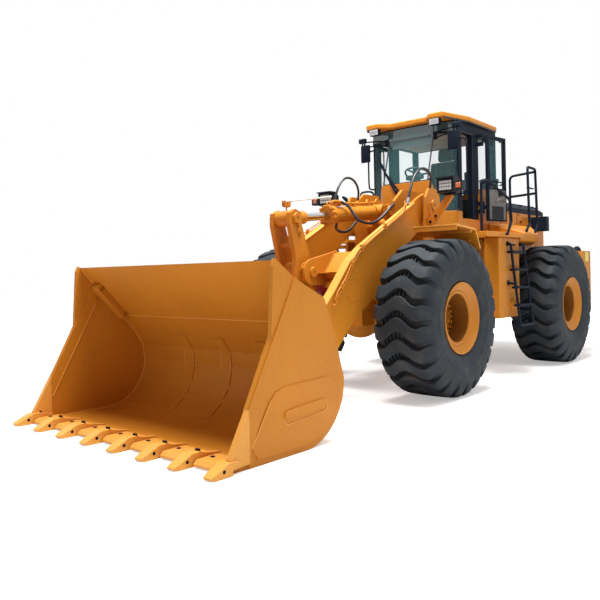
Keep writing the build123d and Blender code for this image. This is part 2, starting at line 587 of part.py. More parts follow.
def bucket():
    ax = FRONT_AXLE_X
    inner_radius = BEND_RADIUS - BUCKET_SHELL
    turn = inner_radius * cos(radians(45))
    floor = [(LIP_X - LIP_LENGTH, 0), (LIP_X - LIP_LENGTH, BUCKET_SHELL)]
    solid = bucket_outline([(ax + 3191, 1600), (LIP_X - LIP_LENGTH, 1600), (LIP_X - LIP_LENGTH, 0)])
    solid = extrude(solid, amount=2 * BUCKET_HALF - 20, dir=(0, 1, 0))
    bowl = [(ax + 3191, 1600), (ax + 2660, 1052), (ax + 2482, 845), (ax + 2385, 700),
            (BEND[0] - inner_radius, BEND[1])]
    arc = ThreePointArc((BEND[0] - inner_radius, 0, BEND[1]), (BEND[0] - turn, 0, BEND[1] - turn),
                        (BEND[0], 0, BUCKET_SHELL))
    rest = [(BEND[0], BUCKET_SHELL), (ax + 4000, BUCKET_SHELL), (ax + 4000, 1700), (ax + 3191, 1700),
            (ax + 3191, 1600)]
    hollow = make_face([Polyline(*[(x, 0, z) for x, z in bowl]), arc,
                        Polyline(*[(x, 0, z) for x, z in rest])])
    hollow = extrude(hollow, amount=2 * BUCKET_HALF - 20, dir=(0, 1, 0))
    torsion = [(ax + 2500, 930), (ax + 2655, 1090), (ax + 3080, 1530), (ax + 2975, 1432),
               (ax + 2615, 1258), (ax + 2570, 1165)]
    shell = Pos(0, -BUCKET_HALF + 10, 0) * (solid - hollow)
    shell = shell - side_plate(torsion, -BUCKET_HALF + 50, BUCKET_HALF - 50)
    front = [(ax + 3235, 1560), (ax + 3275, 970), (GUARD_X, 460), (GUARD_X, 0)]
    cheek = extrude(bucket_outline(front), amount=BUCKET_SIDE, dir=(0, 1, 0))
    pieces = [shell]
    edge = [(ax + 2990, 1462), (GUARD_X, 450), (GUARD_X, 90), (ax + 3206, 800), (ax + 3033, 1094),
            (ax + 2874, 1370)]
    inner_edge = [(ax + 3030, 1440), (GUARD_X, 450), (GUARD_X, 240), (ax + 2990, 1215)]
    panel = [(ax + 3517, 150), (ax + 3297, 485), (ax + 3249, 542), (ax + 3136, 574), (ax + 2599, 590),
             (ax + 2515, 566),
             (ax + 2460, 514), (ax + 2450, 400), (ax + 2530, 240), (ax + 2680, 110), (ax + 2880,
                                                                                      50), (ax + 3450, 50)]
    slot_ends = ((ax + 3110, 341), (ax + 2665, 370))
    for side in SIDES:
        pieces.append(Pos(0, side * (BUCKET_HALF - BUCKET_SIDE / 2) - BUCKET_SIDE / 2, 0) * cheek)
        outer_y = side * (BUCKET_HALF - 1)
        pieces.append(side_plate(edge, outer_y, side * (BUCKET_HALF + 12)))
        pieces.append(side_plate(panel, outer_y, side * (BUCKET_HALF + 8)))
        pad = along(*slot_ends, 0, [(0, span(*slot_ends), 38)]) & block(ax + 2000, ax + 4000, -7, 7, 0, 999)
        pad = joined(pad, *[rod_y(*place, 37, -7, 7) for place in slot_ends])
        pieces.append(Pos(0, side * (BUCKET_HALF + 14), 0) * pad)
        inner_y = side * (BUCKET_HALF - BUCKET_SIDE + 1)
        pieces.append(side_plate(inner_edge, inner_y, side * (BUCKET_HALF - BUCKET_SIDE - 10)))
    pieces.append(block(LIP_X - LIP_LENGTH - 10, LIP_X, -BUCKET_HALF + 10, BUCKET_HALF - 10, 0, 2 * LIP_HALF))
    hinge_ear = [(ax + 2354, 620), (ax + 2120, 530), (ax + 2040, 400), (ax + 2100, 270),
                 (ax + 2433, 240), (ax + 2368, 400)]
    link_ear = [(ax + 2354, 600), (ax + 2150, 700), (ax + 2140, 860), (ax + 2235, 890), (ax + 2450, 900),
                (ax + 2440, 860)]
    for side in SIDES:
        for near in (ARM_Y - 17 - PLATE, ARM_Y + ARM_WIDTH + 17):
            ear = side_plate(hinge_ear, side * near, side * (near + PLATE))
            ear = ear + rod_y(*BUCKET_PIN, 135, side * near, side * (near + PLATE))
            pieces.append(ear - rod_y(*BUCKET_PIN, ARM_PIN_RADIUS + PIN_GAP, -900, 900))
        near = LINK_HALF + 10
        pieces.append(side_plate(link_ear, side * near, side * (near + PLATE)))
        pieces.append(rod_y(*LINK_PIN, 100, side * near, side * (near + PLATE)))
    pieces.append(rod_y(*LINK_PIN, ARM_PIN_RADIUS, -LINK_HALF - 50, LINK_HALF + 50))
    return joined(*pieces)


save("bucket", bucket())


def tooth(y):
    """A blunt tip on an adapter that grips the lip and runs out in a thin tail on the floor."""
    seat = 2 * LIP_HALF + SEAT_GAP
    half = TOOTH_WIDTH / 2
    side = [(LIP_X - 290, seat), (LIP_X - 290, seat + 8), (LIP_X - 130, seat + 34), (LIP_X - 40, 106),
            (LIP_X + 40, 102),
            (TOOTH_REACH - 20, 36), (TOOTH_REACH, 26), (TOOTH_REACH, 10), (TOOTH_REACH - 40, 0),
            (LIP_X + SEAT_GAP, 0), (LIP_X + SEAT_GAP, seat)]
    plan = [(LIP_X - 291, y - 20), (LIP_X - 120, y - 38), (LIP_X - 30, y - half), (TOOTH_REACH - 40,
                                                                                   y - half),
            (TOOTH_REACH + 1, y - half + 12), (TOOTH_REACH + 1, y + half - 12), (TOOTH_REACH - 40, y + half),
            (LIP_X - 30, y + half), (LIP_X - 120, y + 38), (LIP_X - 291, y + 20)]
    body = side_plate(side, y - half, y + half) & level_plate(plan, -1, 200)
    return body - rod_y(LIP_X + 88, 50, 15, y - half - 1, y + half + 1)


def corner_guard(side):
    """The tall wedge that finishes the cheek's foot above the end tooth."""
    low = 2 * LIP_HALF + SEAT_GAP
    wedge = [(GUARD_X + SEAT_GAP, 455), (LIP_X + 10, 110), (LIP_X - 20, 70), (LIP_X - 60, low),
             (GUARD_X + SEAT_GAP, low)]
    return side_plate(wedge, side * (BUCKET_HALF - BUCKET_SIDE), side * (BUCKET_HALF + 15))


TOOTH_PITCH = (2 * CUTTER_HALF - TOOTH_WIDTH) / (TOOTH_COUNT - 1)
TOOTH_YS = [-CUTTER_HALF + TOOTH_WIDTH / 2 + i * TOOTH_PITCH for i in range(TOOTH_COUNT)]
TEETH = [tooth(y) for y in TOOTH_YS]
for i, side in ((0, -1), (-1, 1)):
    cheek_room = block(LIP_X - 300, GUARD_X + SEAT_GAP, side * 1300, side * 1600, 0, 200)
    TEETH[i] = TEETH[i] - cheek_room + corner_guard(side)
save("bucket_teeth", TEETH)

# ---- rear frame ------------------------------------------------------------------------------
REAR_OUT_Y = REAR_WALL_Y + REAR_WALL


def rear_frame():
    sx = STEER_X
    top = REAR_FRAME_TOP_Z
    wall = [(REAR_FRAME_X, 640), (REAR_FRAME_X, top), (TAIL_X + 350, top), (TAIL_X + 350, 1000),
            (REAR_AXLE_X - 600, 1000), (REAR_AXLE_X - 450, SADDLE_Z), (REAR_AXLE_X + 450, SADDLE_Z),
            (REAR_AXLE_X + 800, 700), (REAR_AXLE_X + 1100, 640)]
    seat = DECK_TOP_Z - DECK_DEPTH - SEAT_GAP
    arm_end = HOOD_FRONT_X + RUNNING_GAP
    cab_arm = [(sx + 350, seat), (sx + 350, 1850), (REAR_FRAME_X, top - 20),
               (arm_end, top - 20), (arm_end, seat)]
    floor = block(REAR_FRAME_X, HOOD_REAR_X + 25, -HOOD_HALF, HOOD_HALF, top - FLOOR_PLATE, top)
    hole = block(ENGINE_X - ENGINE_LENGTH / 2 - 10, ENGINE_X + ENGINE_LENGTH / 2 + 10,
                 -REAR_WALL_Y, REAR_WALL_Y, 0, 3000)
    pieces = [floor - hole]
    for side in SIDES:
        pieces.append(side_plate(wall, side * REAR_WALL_Y, side * REAR_OUT_Y))
        pieces.append(side_plate(cab_arm, side * 560, side * 600))
        bracket_y = (side * REAR_OUT_Y, side * (TANK_INNER_Y - SEAT_GAP))
        pieces.append(block(sx - 460, sx - 340, *bracket_y, 1150, 1250))
        lug_y = (side * REAR_OUT_Y, side * 560)
        for low, high in ((STEER_CYLINDER_Z - 65, STEER_CYLINDER_Z - 40),
                          (STEER_CYLINDER_Z + 40, STEER_CYLINDER_Z + 65)):
            pieces.append(block(STEER_X - 930, STEER_X - 790, *lug_y, low, high))
        pieces.append(rod_z(STEER_X - 850, side * 500, 30, STEER_CYLINDER_Z - 65, STEER_CYLINDER_Z + 65))
    across = (-REAR_WALL_Y, REAR_WALL_Y)
    pieces.append(block(REAR_FRAME_X, REAR_FRAME_X + PLATE, -REAR_OUT_Y, REAR_OUT_Y, 640, top))
    pieces.append(block(REAR_AXLE_X + 560, REAR_AXLE_X + 600, *across, 900, top))
    pieces.append(block(TAIL_X + 350, TAIL_X + 390, *across, 1000, top))
    for z in HITCH_HEIGHTS:
        reach = HITCH_LUG / 2 + RUNNING_GAP
        for low in (z - reach - HITCH_PLATE, z + reach):
            plan = [(REAR_FRAME_X, -REAR_WALL_Y), (REAR_FRAME_X, REAR_WALL_Y),
                    (STEER_X, HITCH_EYE_RADIUS), (STEER_X, -HITCH_EYE_RADIUS)]
            pieces.append(level_plate(plan, low, low + HITCH_PLATE))
            pieces.append(rod_z(STEER_X, 0, HITCH_EYE_RADIUS, low, low + HITCH_PLATE))
        end = reach + HITCH_PLATE + 10
        pieces.append(rod_z(STEER_X, 0, HITCH_PIN_RADIUS, z - end, z + end))
    frame = joined(*pieces)
    for side in SIDES:
        frame = frame - block(REAR_FRAME_X - 150, REAR_FRAME_X + 50, side * (REAR_WALL_Y + 17),
                              side * REAR_OUT_Y,
                              STEER_CYLINDER_Z - 70, STEER_CYLINDER_Z + 70)
    return frame


save("rear_frame", rear_frame())
engine_low = REAR_FRAME_TOP_Z - 230
save("engine_block", block(ENGINE_X - ENGINE_LENGTH / 2, ENGINE_X + ENGINE_LENGTH / 2,
                           -REAR_WALL_Y + SEAT_GAP, REAR_WALL_Y - SEAT_GAP,
                           engine_low, engine_low + ENGINE_HEIGHT))


def counterweight():
    """The cast tail weight between and behind the rear wheels, with its tow pin's pocket."""
    front = TAIL_X + COUNTERWEIGHT_LENGTH
    plan = [(front, -COUNTERWEIGHT_HALF), (TAIL_X + 380, -COUNTERWEIGHT_HALF), (TAIL_X, -950),
            (TAIL_X, 950), (TAIL_X + 380, COUNTERWEIGHT_HALF), (front, COUNTERWEIGHT_HALF)]
    body = level_plate(plan, COUNTERWEIGHT_LOW_Z, COUNTERWEIGHT_TOP_Z)
    body = body - block(TAIL_X + 350 - SEAT_GAP, front + 1, -HOOD_HALF - SEAT_GAP, HOOD_HALF + SEAT_GAP,
                        990, 2000)
    body = body - block(TAIL_X - 1, TAIL_X + 190, -110, 110, 950, 1090)
    return body - rod_z(TAIL_X + 90, 0, TOW_PIN_RADIUS, 700, 1180)


save("counterweight", counterweight())

# ---- hood ------------------------------------------------------------------------------------
def hood_top():
    """The hood's black cap: an arched sheet that falls away at the tail."""
    outer = [(-HOOD_HALF, HOOD_SIDE_Z), (-HOOD_HALF, HOOD_TOP_Z - 90), (-HOOD_HALF + 90, HOOD_TOP_Z),
             (HOOD_HALF - 90, HOOD_TOP_Z), (HOOD_HALF, HOOD_TOP_Z - 90), (HOOD_HALF, HOOD_SIDE_Z)]
    inside = [(-HOOD_HALF + HOOD_SHEET, HOOD_SIDE_Z - 5),
              (-HOOD_HALF + HOOD_SHEET, HOOD_TOP_Z - 90 - HOOD_SHEET * 0.4),
              (-HOOD_HALF + 90 + HOOD_SHEET * 0.4, HOOD_TOP_Z - HOOD_SHEET),
              (HOOD_HALF - 90 - HOOD_SHEET * 0.4, HOOD_TOP_Z - HOOD_SHEET),
              (HOOD_HALF - HOOD_SHEET, HOOD_TOP_Z - 90 - HOOD_SHEET * 0.4),
              (HOOD_HALF - HOOD_SHEET, HOOD_SIDE_Z - 5)]
    cap = cross_plate(outer, HOOD_REAR_X, HOOD_FRONT_X) - cross_plate(inside, HOOD_REAR_X - 1,
                                                                      HOOD_FRONT_X + 1)
    fall = [(HOOD_REAR_X - 1, HOOD_TOP_Z + 1), (HOOD_REAR_X + 300, HOOD_TOP_Z + 1), (HOOD_REAR_X - 1,
                                                                                     HOOD_SIDE_Z + 60)]
    cap = cap - side_plate(fall, -HOOD_HALF - 1, HOOD_HALF + 1)
    slope = [(HOOD_REAR_X, HOOD_SIDE_Z + 61), (HOOD_REAR_X + 299, HOOD_TOP_Z),
             (HOOD_REAR_X + 299, HOOD_TOP_Z - 30), (HOOD_REAR_X, HOOD_SIDE_Z + 31)]
    return cap + side_plate(slope, -HOOD_HALF + 60, HOOD_HALF - 60)


save("hood_top", hood_top())


def hood_side():
    low = REAR_FRAME_TOP_Z + SEAT_GAP
    high = HOOD_SIDE_Z - SEAT_GAP
    panel = block(HOOD_REAR_X, HOOD_FRONT_X, HOOD_HALF - HOOD_SHEET, HOOD_HALF, low, high)
    for i in range(9):
        x = HOOD_REAR_X + 200 + i * 85
        panel = panel - block(x, x + 40, 0, HOOD_HALF + 1, high - 170, high - 60)
    return panel


save("hood_sides", both(hood_side()))


def rear_grille():
    """The radiator's guard: a frame with level bars across the hood's tail."""
    half = HOOD_HALF - HOOD_SHEET - SEAT_GAP
    low = REAR_FRAME_TOP_Z + SEAT_GAP
    high = HOOD_SIDE_Z - 20
    frame = block(HOOD_REAR_X, HOOD_REAR_X + 40, -half, half, low, high)
    frame = frame - block(HOOD_REAR_X - 1, HOOD_REAR_X + 41, -half + 60, half - 60, low + 60, high - 60)
    bars = [block(HOOD_REAR_X + 8, HOOD_REAR_X + 30, -half + 50, half - 50, z, z + 30)
            for z in range(int(low) + 110, int(high) - 80, 75)]
    return joined(frame, *bars)


save("rear_grille", rear_grille())

# ---- decks, tanks, side boxes, ladders, rails --------------------------------------------------
def deck():
    plan = [(DECK_FRONT_X, 1110), (DECK_FRONT_X, DECK_FRONT_HALF), (DECK_REAR_X, DECK_HALF),
            (DECK_REAR_X, CAB_HALF + RUNNING_GAP), (STEER_X + 250, CAB_HALF + RUNNING_GAP),
            (STEER_X + 250, 1000), (STEER_X + 330, 1110)]
    return level_plate(plan, DECK_TOP_Z - DECK_DEPTH, DECK_TOP_Z)


save("decks", both(deck()))
tank_plan = [(TANK_REAR_X, TANK_INNER_Y), (TANK_FRONT_X - 115, TANK_INNER_Y), (TANK_FRONT_X,
                                                                               TANK_INNER_Y + 82),
             (TANK_FRONT_X, TANK_OUTER_Y), (TANK_REAR_X, TANK_OUTER_Y)]
save("tanks", both(level_plate(tank_plan, TANK_LOW_Z, DECK_TOP_Z - DECK_DEPTH - SEAT_GAP)))


def side_box():
    """The closed locker over the rear wheel, its lid sloping up to the hood."""
    inner = HOOD_HALF + SEAT_GAP
    section = [(inner, SIDE_BOX_LOW_Z), (DECK_HALF - 60, SIDE_BOX_LOW_Z), (DECK_HALF, DECK_TOP_Z),
               (DECK_HALF - 20, DECK_TOP_Z + 20), (inner, DECK_TOP_Z + SIDE_BOX_RISE)]
    plan = [(DECK_REAR_X, 0), (DECK_REAR_X, DECK_HALF + 50), (SIDE_BOX_REAR_X, DECK_HALF + 50),
            (SIDE_BOX_REAR_X, DECK_HALF), (SIDE_BOX_INNER_X, inner), (SIDE_BOX_INNER_X, 0)]
    body = cross_plate(section, SIDE_BOX_INNER_X, DECK_REAR_X - SEAT_GAP)
    body = body & level_plate(plan, SIDE_BOX_LOW_Z - 1, DECK_TOP_Z + SIDE_BOX_RISE + 1)
    clear = block(CAB_REAR_X - RUNNING_GAP, DECK_REAR_X + 1, 0, CAB_HALF + RUNNING_GAP, 1900, 2400)
    return body - clear


save("side_boxes", both(side_box()))
rear_lamp_x = SIDE_BOX_INNER_X - SEAT_GAP
save("rear_lamps", both(block(rear_lamp_x - 130, rear_lamp_x, HOOD_HALF + SEAT_GAP, 890,
                              HOOD_SIDE_Z - 290, HOOD_SIDE_Z - 40)))


def ladder():
    """Two stringers leaning out from the tank with four treads and a low step box."""
    top_y, top_z = LADDER_TOP
    foot_y, foot_z = LADDER_FOOT
    half = LADDER_WIDTH / 2
    pieces = []
    for x in (LADDER_X - half, LADDER_X + half):
        points = [(x, TANK_OUTER_Y + 3, top_z + 32), (x, top_y, top_z + 30), (x, foot_y, foot_z),
                  (x, foot_y, foot_z - 60)]
        pieces.append(pipe(points, 18, [30, 300]))
    for i in range(4):
        share = (i + 0.35) / 4
        y = top_y + (foot_y - top_y) * share
        z = top_z + (foot_z - top_z) * share
        pieces.append(block(LADDER_X - half, LADDER_X + half, y - 60, y + 30, z - 15, z + 15))
    pieces.append(block(LADDER_X - half - 20, LADDER_X + half + 20, foot_y - 90, foot_y + 30, foot_z - 130,
                        foot_z - 100))
    for x in (LADDER_X - half, LADDER_X + half):
        pieces.append(block(x - 12, x + 12, foot_y - 60, foot_y + 20, foot_z - 120, foot_z - 20))
    pieces.append(block(LADDER_X - half, LADDER_X - half + 30, TANK_OUTER_Y + SEAT_GAP, foot_y - 20, 900,
                        940))
    return joined(*pieces)


save("ladders", both(ladder()))


def lid_z(y):
    """The height of the side box's sloping lid."""
    slope = (SIDE_BOX_RISE - 20) / (DECK_HALF - 20 - HOOD_HALF)
    return DECK_TOP_Z + 20 + (DECK_HALF - 20 - y) * slope


def rails():
    """The platform's guard rail: across the deck's nose, then back and down to the ladder."""
    sx = STEER_X
    foot = DECK_TOP_Z + SEAT_GAP
    x = DECK_FRONT_X - 40
    top = DECK_TOP_Z
    front = [(x, 1130, foot), (x, 1130, top + 640), (x, DECK_FRONT_HALF, top + 680), (sx + 50, 1300,
                                                                                      top + 450),
             (sx + 20, 1300, top + 160), (sx + 120, 1287, top - 25), (sx + 120, DECK_HALF, top - 33)]
    rail = pipe(front, RAIL_RADIUS, [25, 25, 120, 90, 15])
    return rail - deck()


def hoops():
    """The tall hoop behind the ladder and the cross rail from it to the hood."""
    sx = STEER_X
    top = DECK_TOP_Z
    foot = lid_z(1230) + RAIL_RADIUS * 0.8
    near, far = sx - 790, sx - 1110
    tall = pipe([(near + 120, 1230, foot), (near, 1230, top + 160), (near, 1215, top + 1010),
                 (far, 1205, top + 1010),
                 (far, 1225, top + 160), (far + 90, 1225, foot)], RAIL_RADIUS, [70, 50, 50, 70])
    inner_foot = lid_z(800) + RAIL_RADIUS * 0.4
    inner = pipe([(far, 800, inner_foot), (far, 800, top + 940), (far, 1207, top + 970)], RAIL_RADIUS, 70)
    return joined(tall, inner, bar((far, 800, top + 620), (far, 1213, top + 640), RAIL_RADIUS))


save("handrails", both(rails()) + both(hoops()))

# ---- cab -------------------------------------------------------------------------------------
CAB_PLAN = [(CAB_FRONT_X, CAB_FRONT_HALF), (CAB_CORNER_X, CAB_HALF), (CAB_REAR_X, CAB_HALF),
            (CAB_REAR_X, -CAB_HALF), (CAB_CORNER_X, -CAB_HALF), (CAB_FRONT_X, -CAB_FRONT_HALF)]


def cab_inset(depth):
    """The cab's plan moved in by a wall's thickness."""
    return [(CAB_FRONT_X - depth, CAB_FRONT_HALF - 0.45 * depth), (CAB_CORNER_X - 0.55 * depth,
                                                                   CAB_HALF - depth),
            (CAB_REAR_X + depth, CAB_HALF - depth), (CAB_REAR_X + depth, -CAB_HALF + depth),
            (CAB_CORNER_X - 0.55 * depth, -CAB_HALF + depth), (CAB_FRONT_X - depth,
                                                               -CAB_FRONT_HALF + 0.45 * depth)]


def cab_base():
    """Floor, cowl, corner skirts and the walls below the windows."""
    low = DECK_TOP_Z - DECK_DEPTH
    shell = level_plate(CAB_PLAN, low, CAB_SILL_Z) - level_plate(cab_inset(CAB_SHEET), CAB_FLOOR_Z,
                                                                 CAB_SILL_Z + 1)
    corner = CAB_CORNER_X - 20 - CORNER_POST
    skirt = [(CAB_FRONT_X - 35, CAB_SILL_Z + 1), (CAB_FRONT_X - 55, CAB_SILL_Z - 86),
             (CAB_FRONT_X - 110, CAB_SKIRT_Z), (corner, CAB_SKIRT_Z), (corner,
                                                                       DOOR_LOW_Z), (CAB_JAMB_X - CAB_JAMB,
                                                                                     DOOR_LOW_Z),
             (CAB_JAMB_X - CAB_JAMB, CAB_SIDE_SILL_Z), (CAB_REAR_X - 1, CAB_SIDE_SILL_Z),
             (CAB_REAR_X - 1, CAB_SILL_Z + 1)]
    for side in SIDES:
        shell = shell - side_plate(skirt, side * (CAB_FRONT_HALF + 1), side * (CAB_HALF + 1))
    return shell - block(CAB_REAR_X - 1, CAB_REAR_X + 300, -CAB_HALF, CAB_HALF, CAB_SIDE_SILL_Z,
                         CAB_SILL_Z + 1)


save("cab_base", cab_base())
HEADER_PLAN = [(CAB_FRONT_X - CAB_RAKE, CAB_FRONT_HALF), (CAB_CORNER_X - 20, CAB_HALF)]


def hinge_part(z, inner_y, side):
    """A knuckle on the door's hinge line with the lug that carries it from inner_y."""
    x, y = DOOR_HINGE
    lug = block(x - HINGE_RADIUS, x + HINGE_RADIUS, side * inner_y, side * y, z, z + HINGE_LENGTH - 2)
    return lug + rod_z(x, side * y, HINGE_RADIUS, z, z + HINGE_LENGTH - 2)


def cab_frame():
    """The posts and the header ring that carry the roof, and the doors' fixed knuckles."""
    low = CAB_HEAD_Z - CAB_HEADER
    (fx, fy), (cx, cy) = HEADER_PLAN
    outer = [(fx, fy), (cx, cy), (CAB_REAR_X, cy), (CAB_REAR_X, -cy), (cx, -cy), (fx, -fy)]
    d = CAB_POST
    inner = [(fx - d, fy - 30), (cx - 40, cy - d), (CAB_REAR_X + d, cy - d), (CAB_REAR_X + d, -cy + d),
             (cx - 40, -cy + d), (fx - d, -fy + 30)]
    pieces = [level_plate(outer, low, CAB_HEAD_Z) - level_plate(inner, low - 1, CAB_HEAD_Z + 1)]
    for side in SIDES:
        y = (side * (CAB_HALF - d), side * CAB_HALF)
        corner = CAB_CORNER_X - 20
        pieces.append(block(corner - CORNER_POST, corner, *y, CAB_SKIRT_Z + SEAT_GAP, low + 1))
        pieces.append(block(CAB_JAMB_X - CAB_JAMB, CAB_JAMB_X, *y, DOOR_LOW_Z + SEAT_GAP, low + 1))
        pieces.append(block(CAB_REAR_X, CAB_REAR_X + d, *y, CAB_SIDE_SILL_Z + SEAT_GAP, low + 1))
        for foot in HINGE_HEIGHTS:
            for z in (foot, foot + 2 * HINGE_LENGTH):
                pieces.append(hinge_part(z, CAB_HALF - 5, side))
            x, hinge_y = DOOR_HINGE
            pieces.append(rod_z(x, side * hinge_y, 8, foot + 1, foot + 3 * HINGE_LENGTH - 1))
    return joined(*pieces)


save("cab_frame", cab_frame())


def cab_roof():
    """The roof's plate: raised corners at the front, tapering to the rear."""
    sx = STEER_X
    plan = [(sx + 730, 640), (sx + 730, 420), (sx + 590, 300), (sx + 590, -300), (sx + 730, -420),
            (sx + 730, -640), (sx + 150, -770), (CAB_REAR_X - 30, -735),
            (CAB_REAR_X - 30, 735), (sx + 150, 770)]
    roof = level_plate(plan, CAB_HEAD_Z + SEAT_GAP, ROOF_TOP_Z)
    return roof


save("cab_roof", cab_roof())


def cab_glass():
    """Windscreen, two corner panes, two side panes and the rear pane."""
    low, high = CAB_SILL_Z + SEAT_GAP, CAB_HEAD_Z - CAB_HEADER - SEAT_GAP
    share = (high - CAB_SILL_Z) / (CAB_HEAD_Z - CAB_SILL_Z - CAB_HEADER)
    back = CAB_FRONT_X - 14
    half = CAB_FRONT_HALF - 6
    screen = [(back, low), (back - GLASS, low), (back - GLASS - CAB_RAKE * share, high),
              (back - CAB_RAKE * share, high)]
    panes = [side_plate(screen, -half, half)]
    side_y = CAB_HALF - 30
    side_low = CAB_SIDE_SILL_Z + SEAT_GAP
    for side in SIDES:
        a, b = (CAB_FRONT_X - 20, CAB_FRONT_HALF + 2), (CAB_CORNER_X - 22, CAB_HALF - 18)
        foot = [a, b, (b[0] - 7, b[1] - 4), (a[0] - 7, a[1] - 4)]
        top = [(x - CAB_RAKE * (0.94 if i in (0, 3) else 0), y) for i, (x, y) in enumerate(foot)]
        sections = []
        for plan, z in ((foot, CAB_SKIRT_Z + 2), (top, high)):
            sections.append(make_face(Polyline(*[(x, side * y, z) for x, y in plan], close=True)))
        pane = loft(sections, ruled=True)
        cowl = [(CAB_FRONT_X + 1, 2000), (CAB_FRONT_X + 1, CAB_SILL_Z + 2), (CAB_FRONT_X - 37,
                                                                             CAB_SILL_Z + 2),
                (CAB_FRONT_X - 57, CAB_SILL_Z - 86), (CAB_FRONT_X - 112, CAB_SKIRT_Z + 1),
                (CAB_FRONT_X - 112, 2000)]
        pane = pane - side_plate(cowl, side * 300, side * 800)
        post = block(CAB_CORNER_X - 120, CAB_CORNER_X - 19.5, side * 600, side * 800, 2000, 4000)
        panes.append(pane - post)
        panes.append(block(CAB_REAR_X + CAB_POST + SEAT_GAP, CAB_JAMB_X - CAB_JAMB - SEAT_GAP,
                           side * (side_y - GLASS), side * side_y, side_low, high))
    panes.append(block(CAB_REAR_X + 20, CAB_REAR_X + 20 + GLASS, -CAB_HALF + CAB_POST + SEAT_GAP,
                       CAB_HALF - CAB_POST - SEAT_GAP, side_low, high))
    return panes


save("cab_glass", cab_glass())
lamp = block(STEER_X + 645, STEER_X + 720, 430, 585, CAB_HEAD_Z - 90, CAB_HEAD_Z)
save("cab_lamps", both(lamp))


def mirror_set():
    """A door mirror on two bent arms from the header's corner."""
    sx = STEER_X
    head = block(sx + 588, sx + 628, 660, 820, 3178, 3440)
    post = pipe([(sx + 608, 740, 3430), (sx + 608, 740, 3540), (HEADER_PLAN[0][0] - 60, 560, 3560)], 11, 40)
    return head + post - Pos(SEAT_GAP, 0, 0) * cab_frame()


save("mirrors", both(mirror_set()))

# ---- cab interior ------------------------------------------------------------------------------
SEAT_X = STEER_X - 230
SEAT_TOP_Z = CAB_FLOOR_Z + 530
floor = CAB_FLOOR_Z + SEAT_GAP
save("seat_base", block(SEAT_X - 200, SEAT_X + 200, -200, 200, floor, 2400))
save("seat_cushion", block(SEAT_X - 250, SEAT_X + 270, -260, 260, 2400 + SEAT_GAP, SEAT_TOP_Z))
back = side_plate([(SEAT_X - 260, SEAT_TOP_Z + SEAT_GAP), (SEAT_X - 140, SEAT_TOP_Z + SEAT_GAP),
                   (SEAT_X - 260, 3230),
                   (SEAT_X - 360, 3230)], -250, 250)
save("seat_back", back)
save("seat_headrest", side_plate([(SEAT_X - 370, 3230 + SEAT_GAP), (SEAT_X - 280, 3230 + SEAT_GAP),
                                  (SEAT_X - 300, 3440),
                                  (SEAT_X - 380, 3440)], -140, 140))


def console():
    """The steering column with its wheel and the lever box beside the seat."""
    sx = STEER_X
    column = side_plate([(sx + 590, floor), (sx + 430, floor), (sx + 350, 2840), (sx + 430, 2880)], -70, 70)
    wheel = Pos(sx + 320, 0, 2940) * Rot(0, -25, 0) * Torus(190, 14)
    hub = Pos(sx + 320, 0, 2940) * Rot(0, -25, 0) * Cylinder(40, 60)
    spokes = [Pos(sx + 320, 0, 2940) * Rot(0, -25, 0) * Rot(0, 0, turn) * Pos(95, 0, 0) * Box(190, 30, 14)
              for turn in (90, 210, 330)]
    stem = bar((sx + 390, 0, 2840), (sx + 322, 0, 2938), 28)
    return joined(column, stem, hub, wheel, *spokes)


def lever_box():
    sx = STEER_X
    box = block(sx - 400, sx, -460, -300, floor, 2640)
    levers = [bar((sx - 50 - 60 * i, -380, 2600), (sx - 30 - 60 * i, -380, 2800), 14) for i in range(3)]
    return joined(box, *levers)


save("console", [console(), lever_box()])

# ---- doors -----------------------------------------------------------------------------------
DOOR_OUT_Y = CAB_HALF + DOOR_GAP + DOOR_THICKNESS


def door_pieces():
    """Frame, pane and inner trim of the left door while shut."""
    x0, x1 = DOOR_HINGE[0] + HINGE_RADIUS + 11, DOOR_HINGE[0] + DOOR_REACH
    in_y = CAB_HALF + DOOR_GAP
    leaf = block(x0, x1, in_y, DOOR_OUT_Y, DOOR_LOW_Z - 20, DOOR_HEAD_Z)
    leaf = leaf - block(x0 + DOOR_RAIL, x1 - DOOR_RAIL, 0, 999, DOOR_WINDOW_Z, DOOR_HEAD_Z - DOOR_RAIL)
    leaf = leaf - block(x0 + 20, x1 - 20, in_y - 1, in_y + 12, DOOR_LOW_Z, DOOR_WINDOW_Z - 20)
    for foot in HINGE_HEIGHTS:
        z = foot + HINGE_LENGTH
        knuckle = rod_z(*DOOR_HINGE, HINGE_RADIUS, z, z + HINGE_LENGTH - 2)
        arm = block(DOOR_HINGE[0], x0 + 30, DOOR_OUT_Y - 1, DOOR_HINGE[1], z, z + HINGE_LENGTH - 2)
        leaf = leaf + knuckle + arm - rod_z(*DOOR_HINGE, 8 + PIN_GAP, z - 1, z + HINGE_LENGTH)
    pane_y = in_y + DOOR_THICKNESS / 2
    pane = block(x0 + DOOR_RAIL + SEAT_GAP, x1 - DOOR_RAIL - SEAT_GAP, pane_y, pane_y + GLASS,
                 DOOR_WINDOW_Z + SEAT_GAP, DOOR_HEAD_Z - DOOR_RAIL - SEAT_GAP)
    trim = block(x0 + 20 + SEAT_GAP, x1 - 20 - SEAT_GAP, in_y, in_y + 12 - SEAT_GAP,
                 DOOR_LOW_Z + SEAT_GAP, DOOR_WINDOW_Z - 20 - SEAT_GAP)
    return (("frame", leaf), ("glass", pane), ("trim", trim))


for name, piece in door_pieces():
    opened = Pos(*DOOR_HINGE, 0) * Rot(0, 0, DOOR_SWING) * Pos(-DOOR_HINGE[0], -DOOR_HINGE[1], 0) * piece
    save(f"door_left_{name}", opened)
    save(f"door_right_{name}", mirror_y(piece))

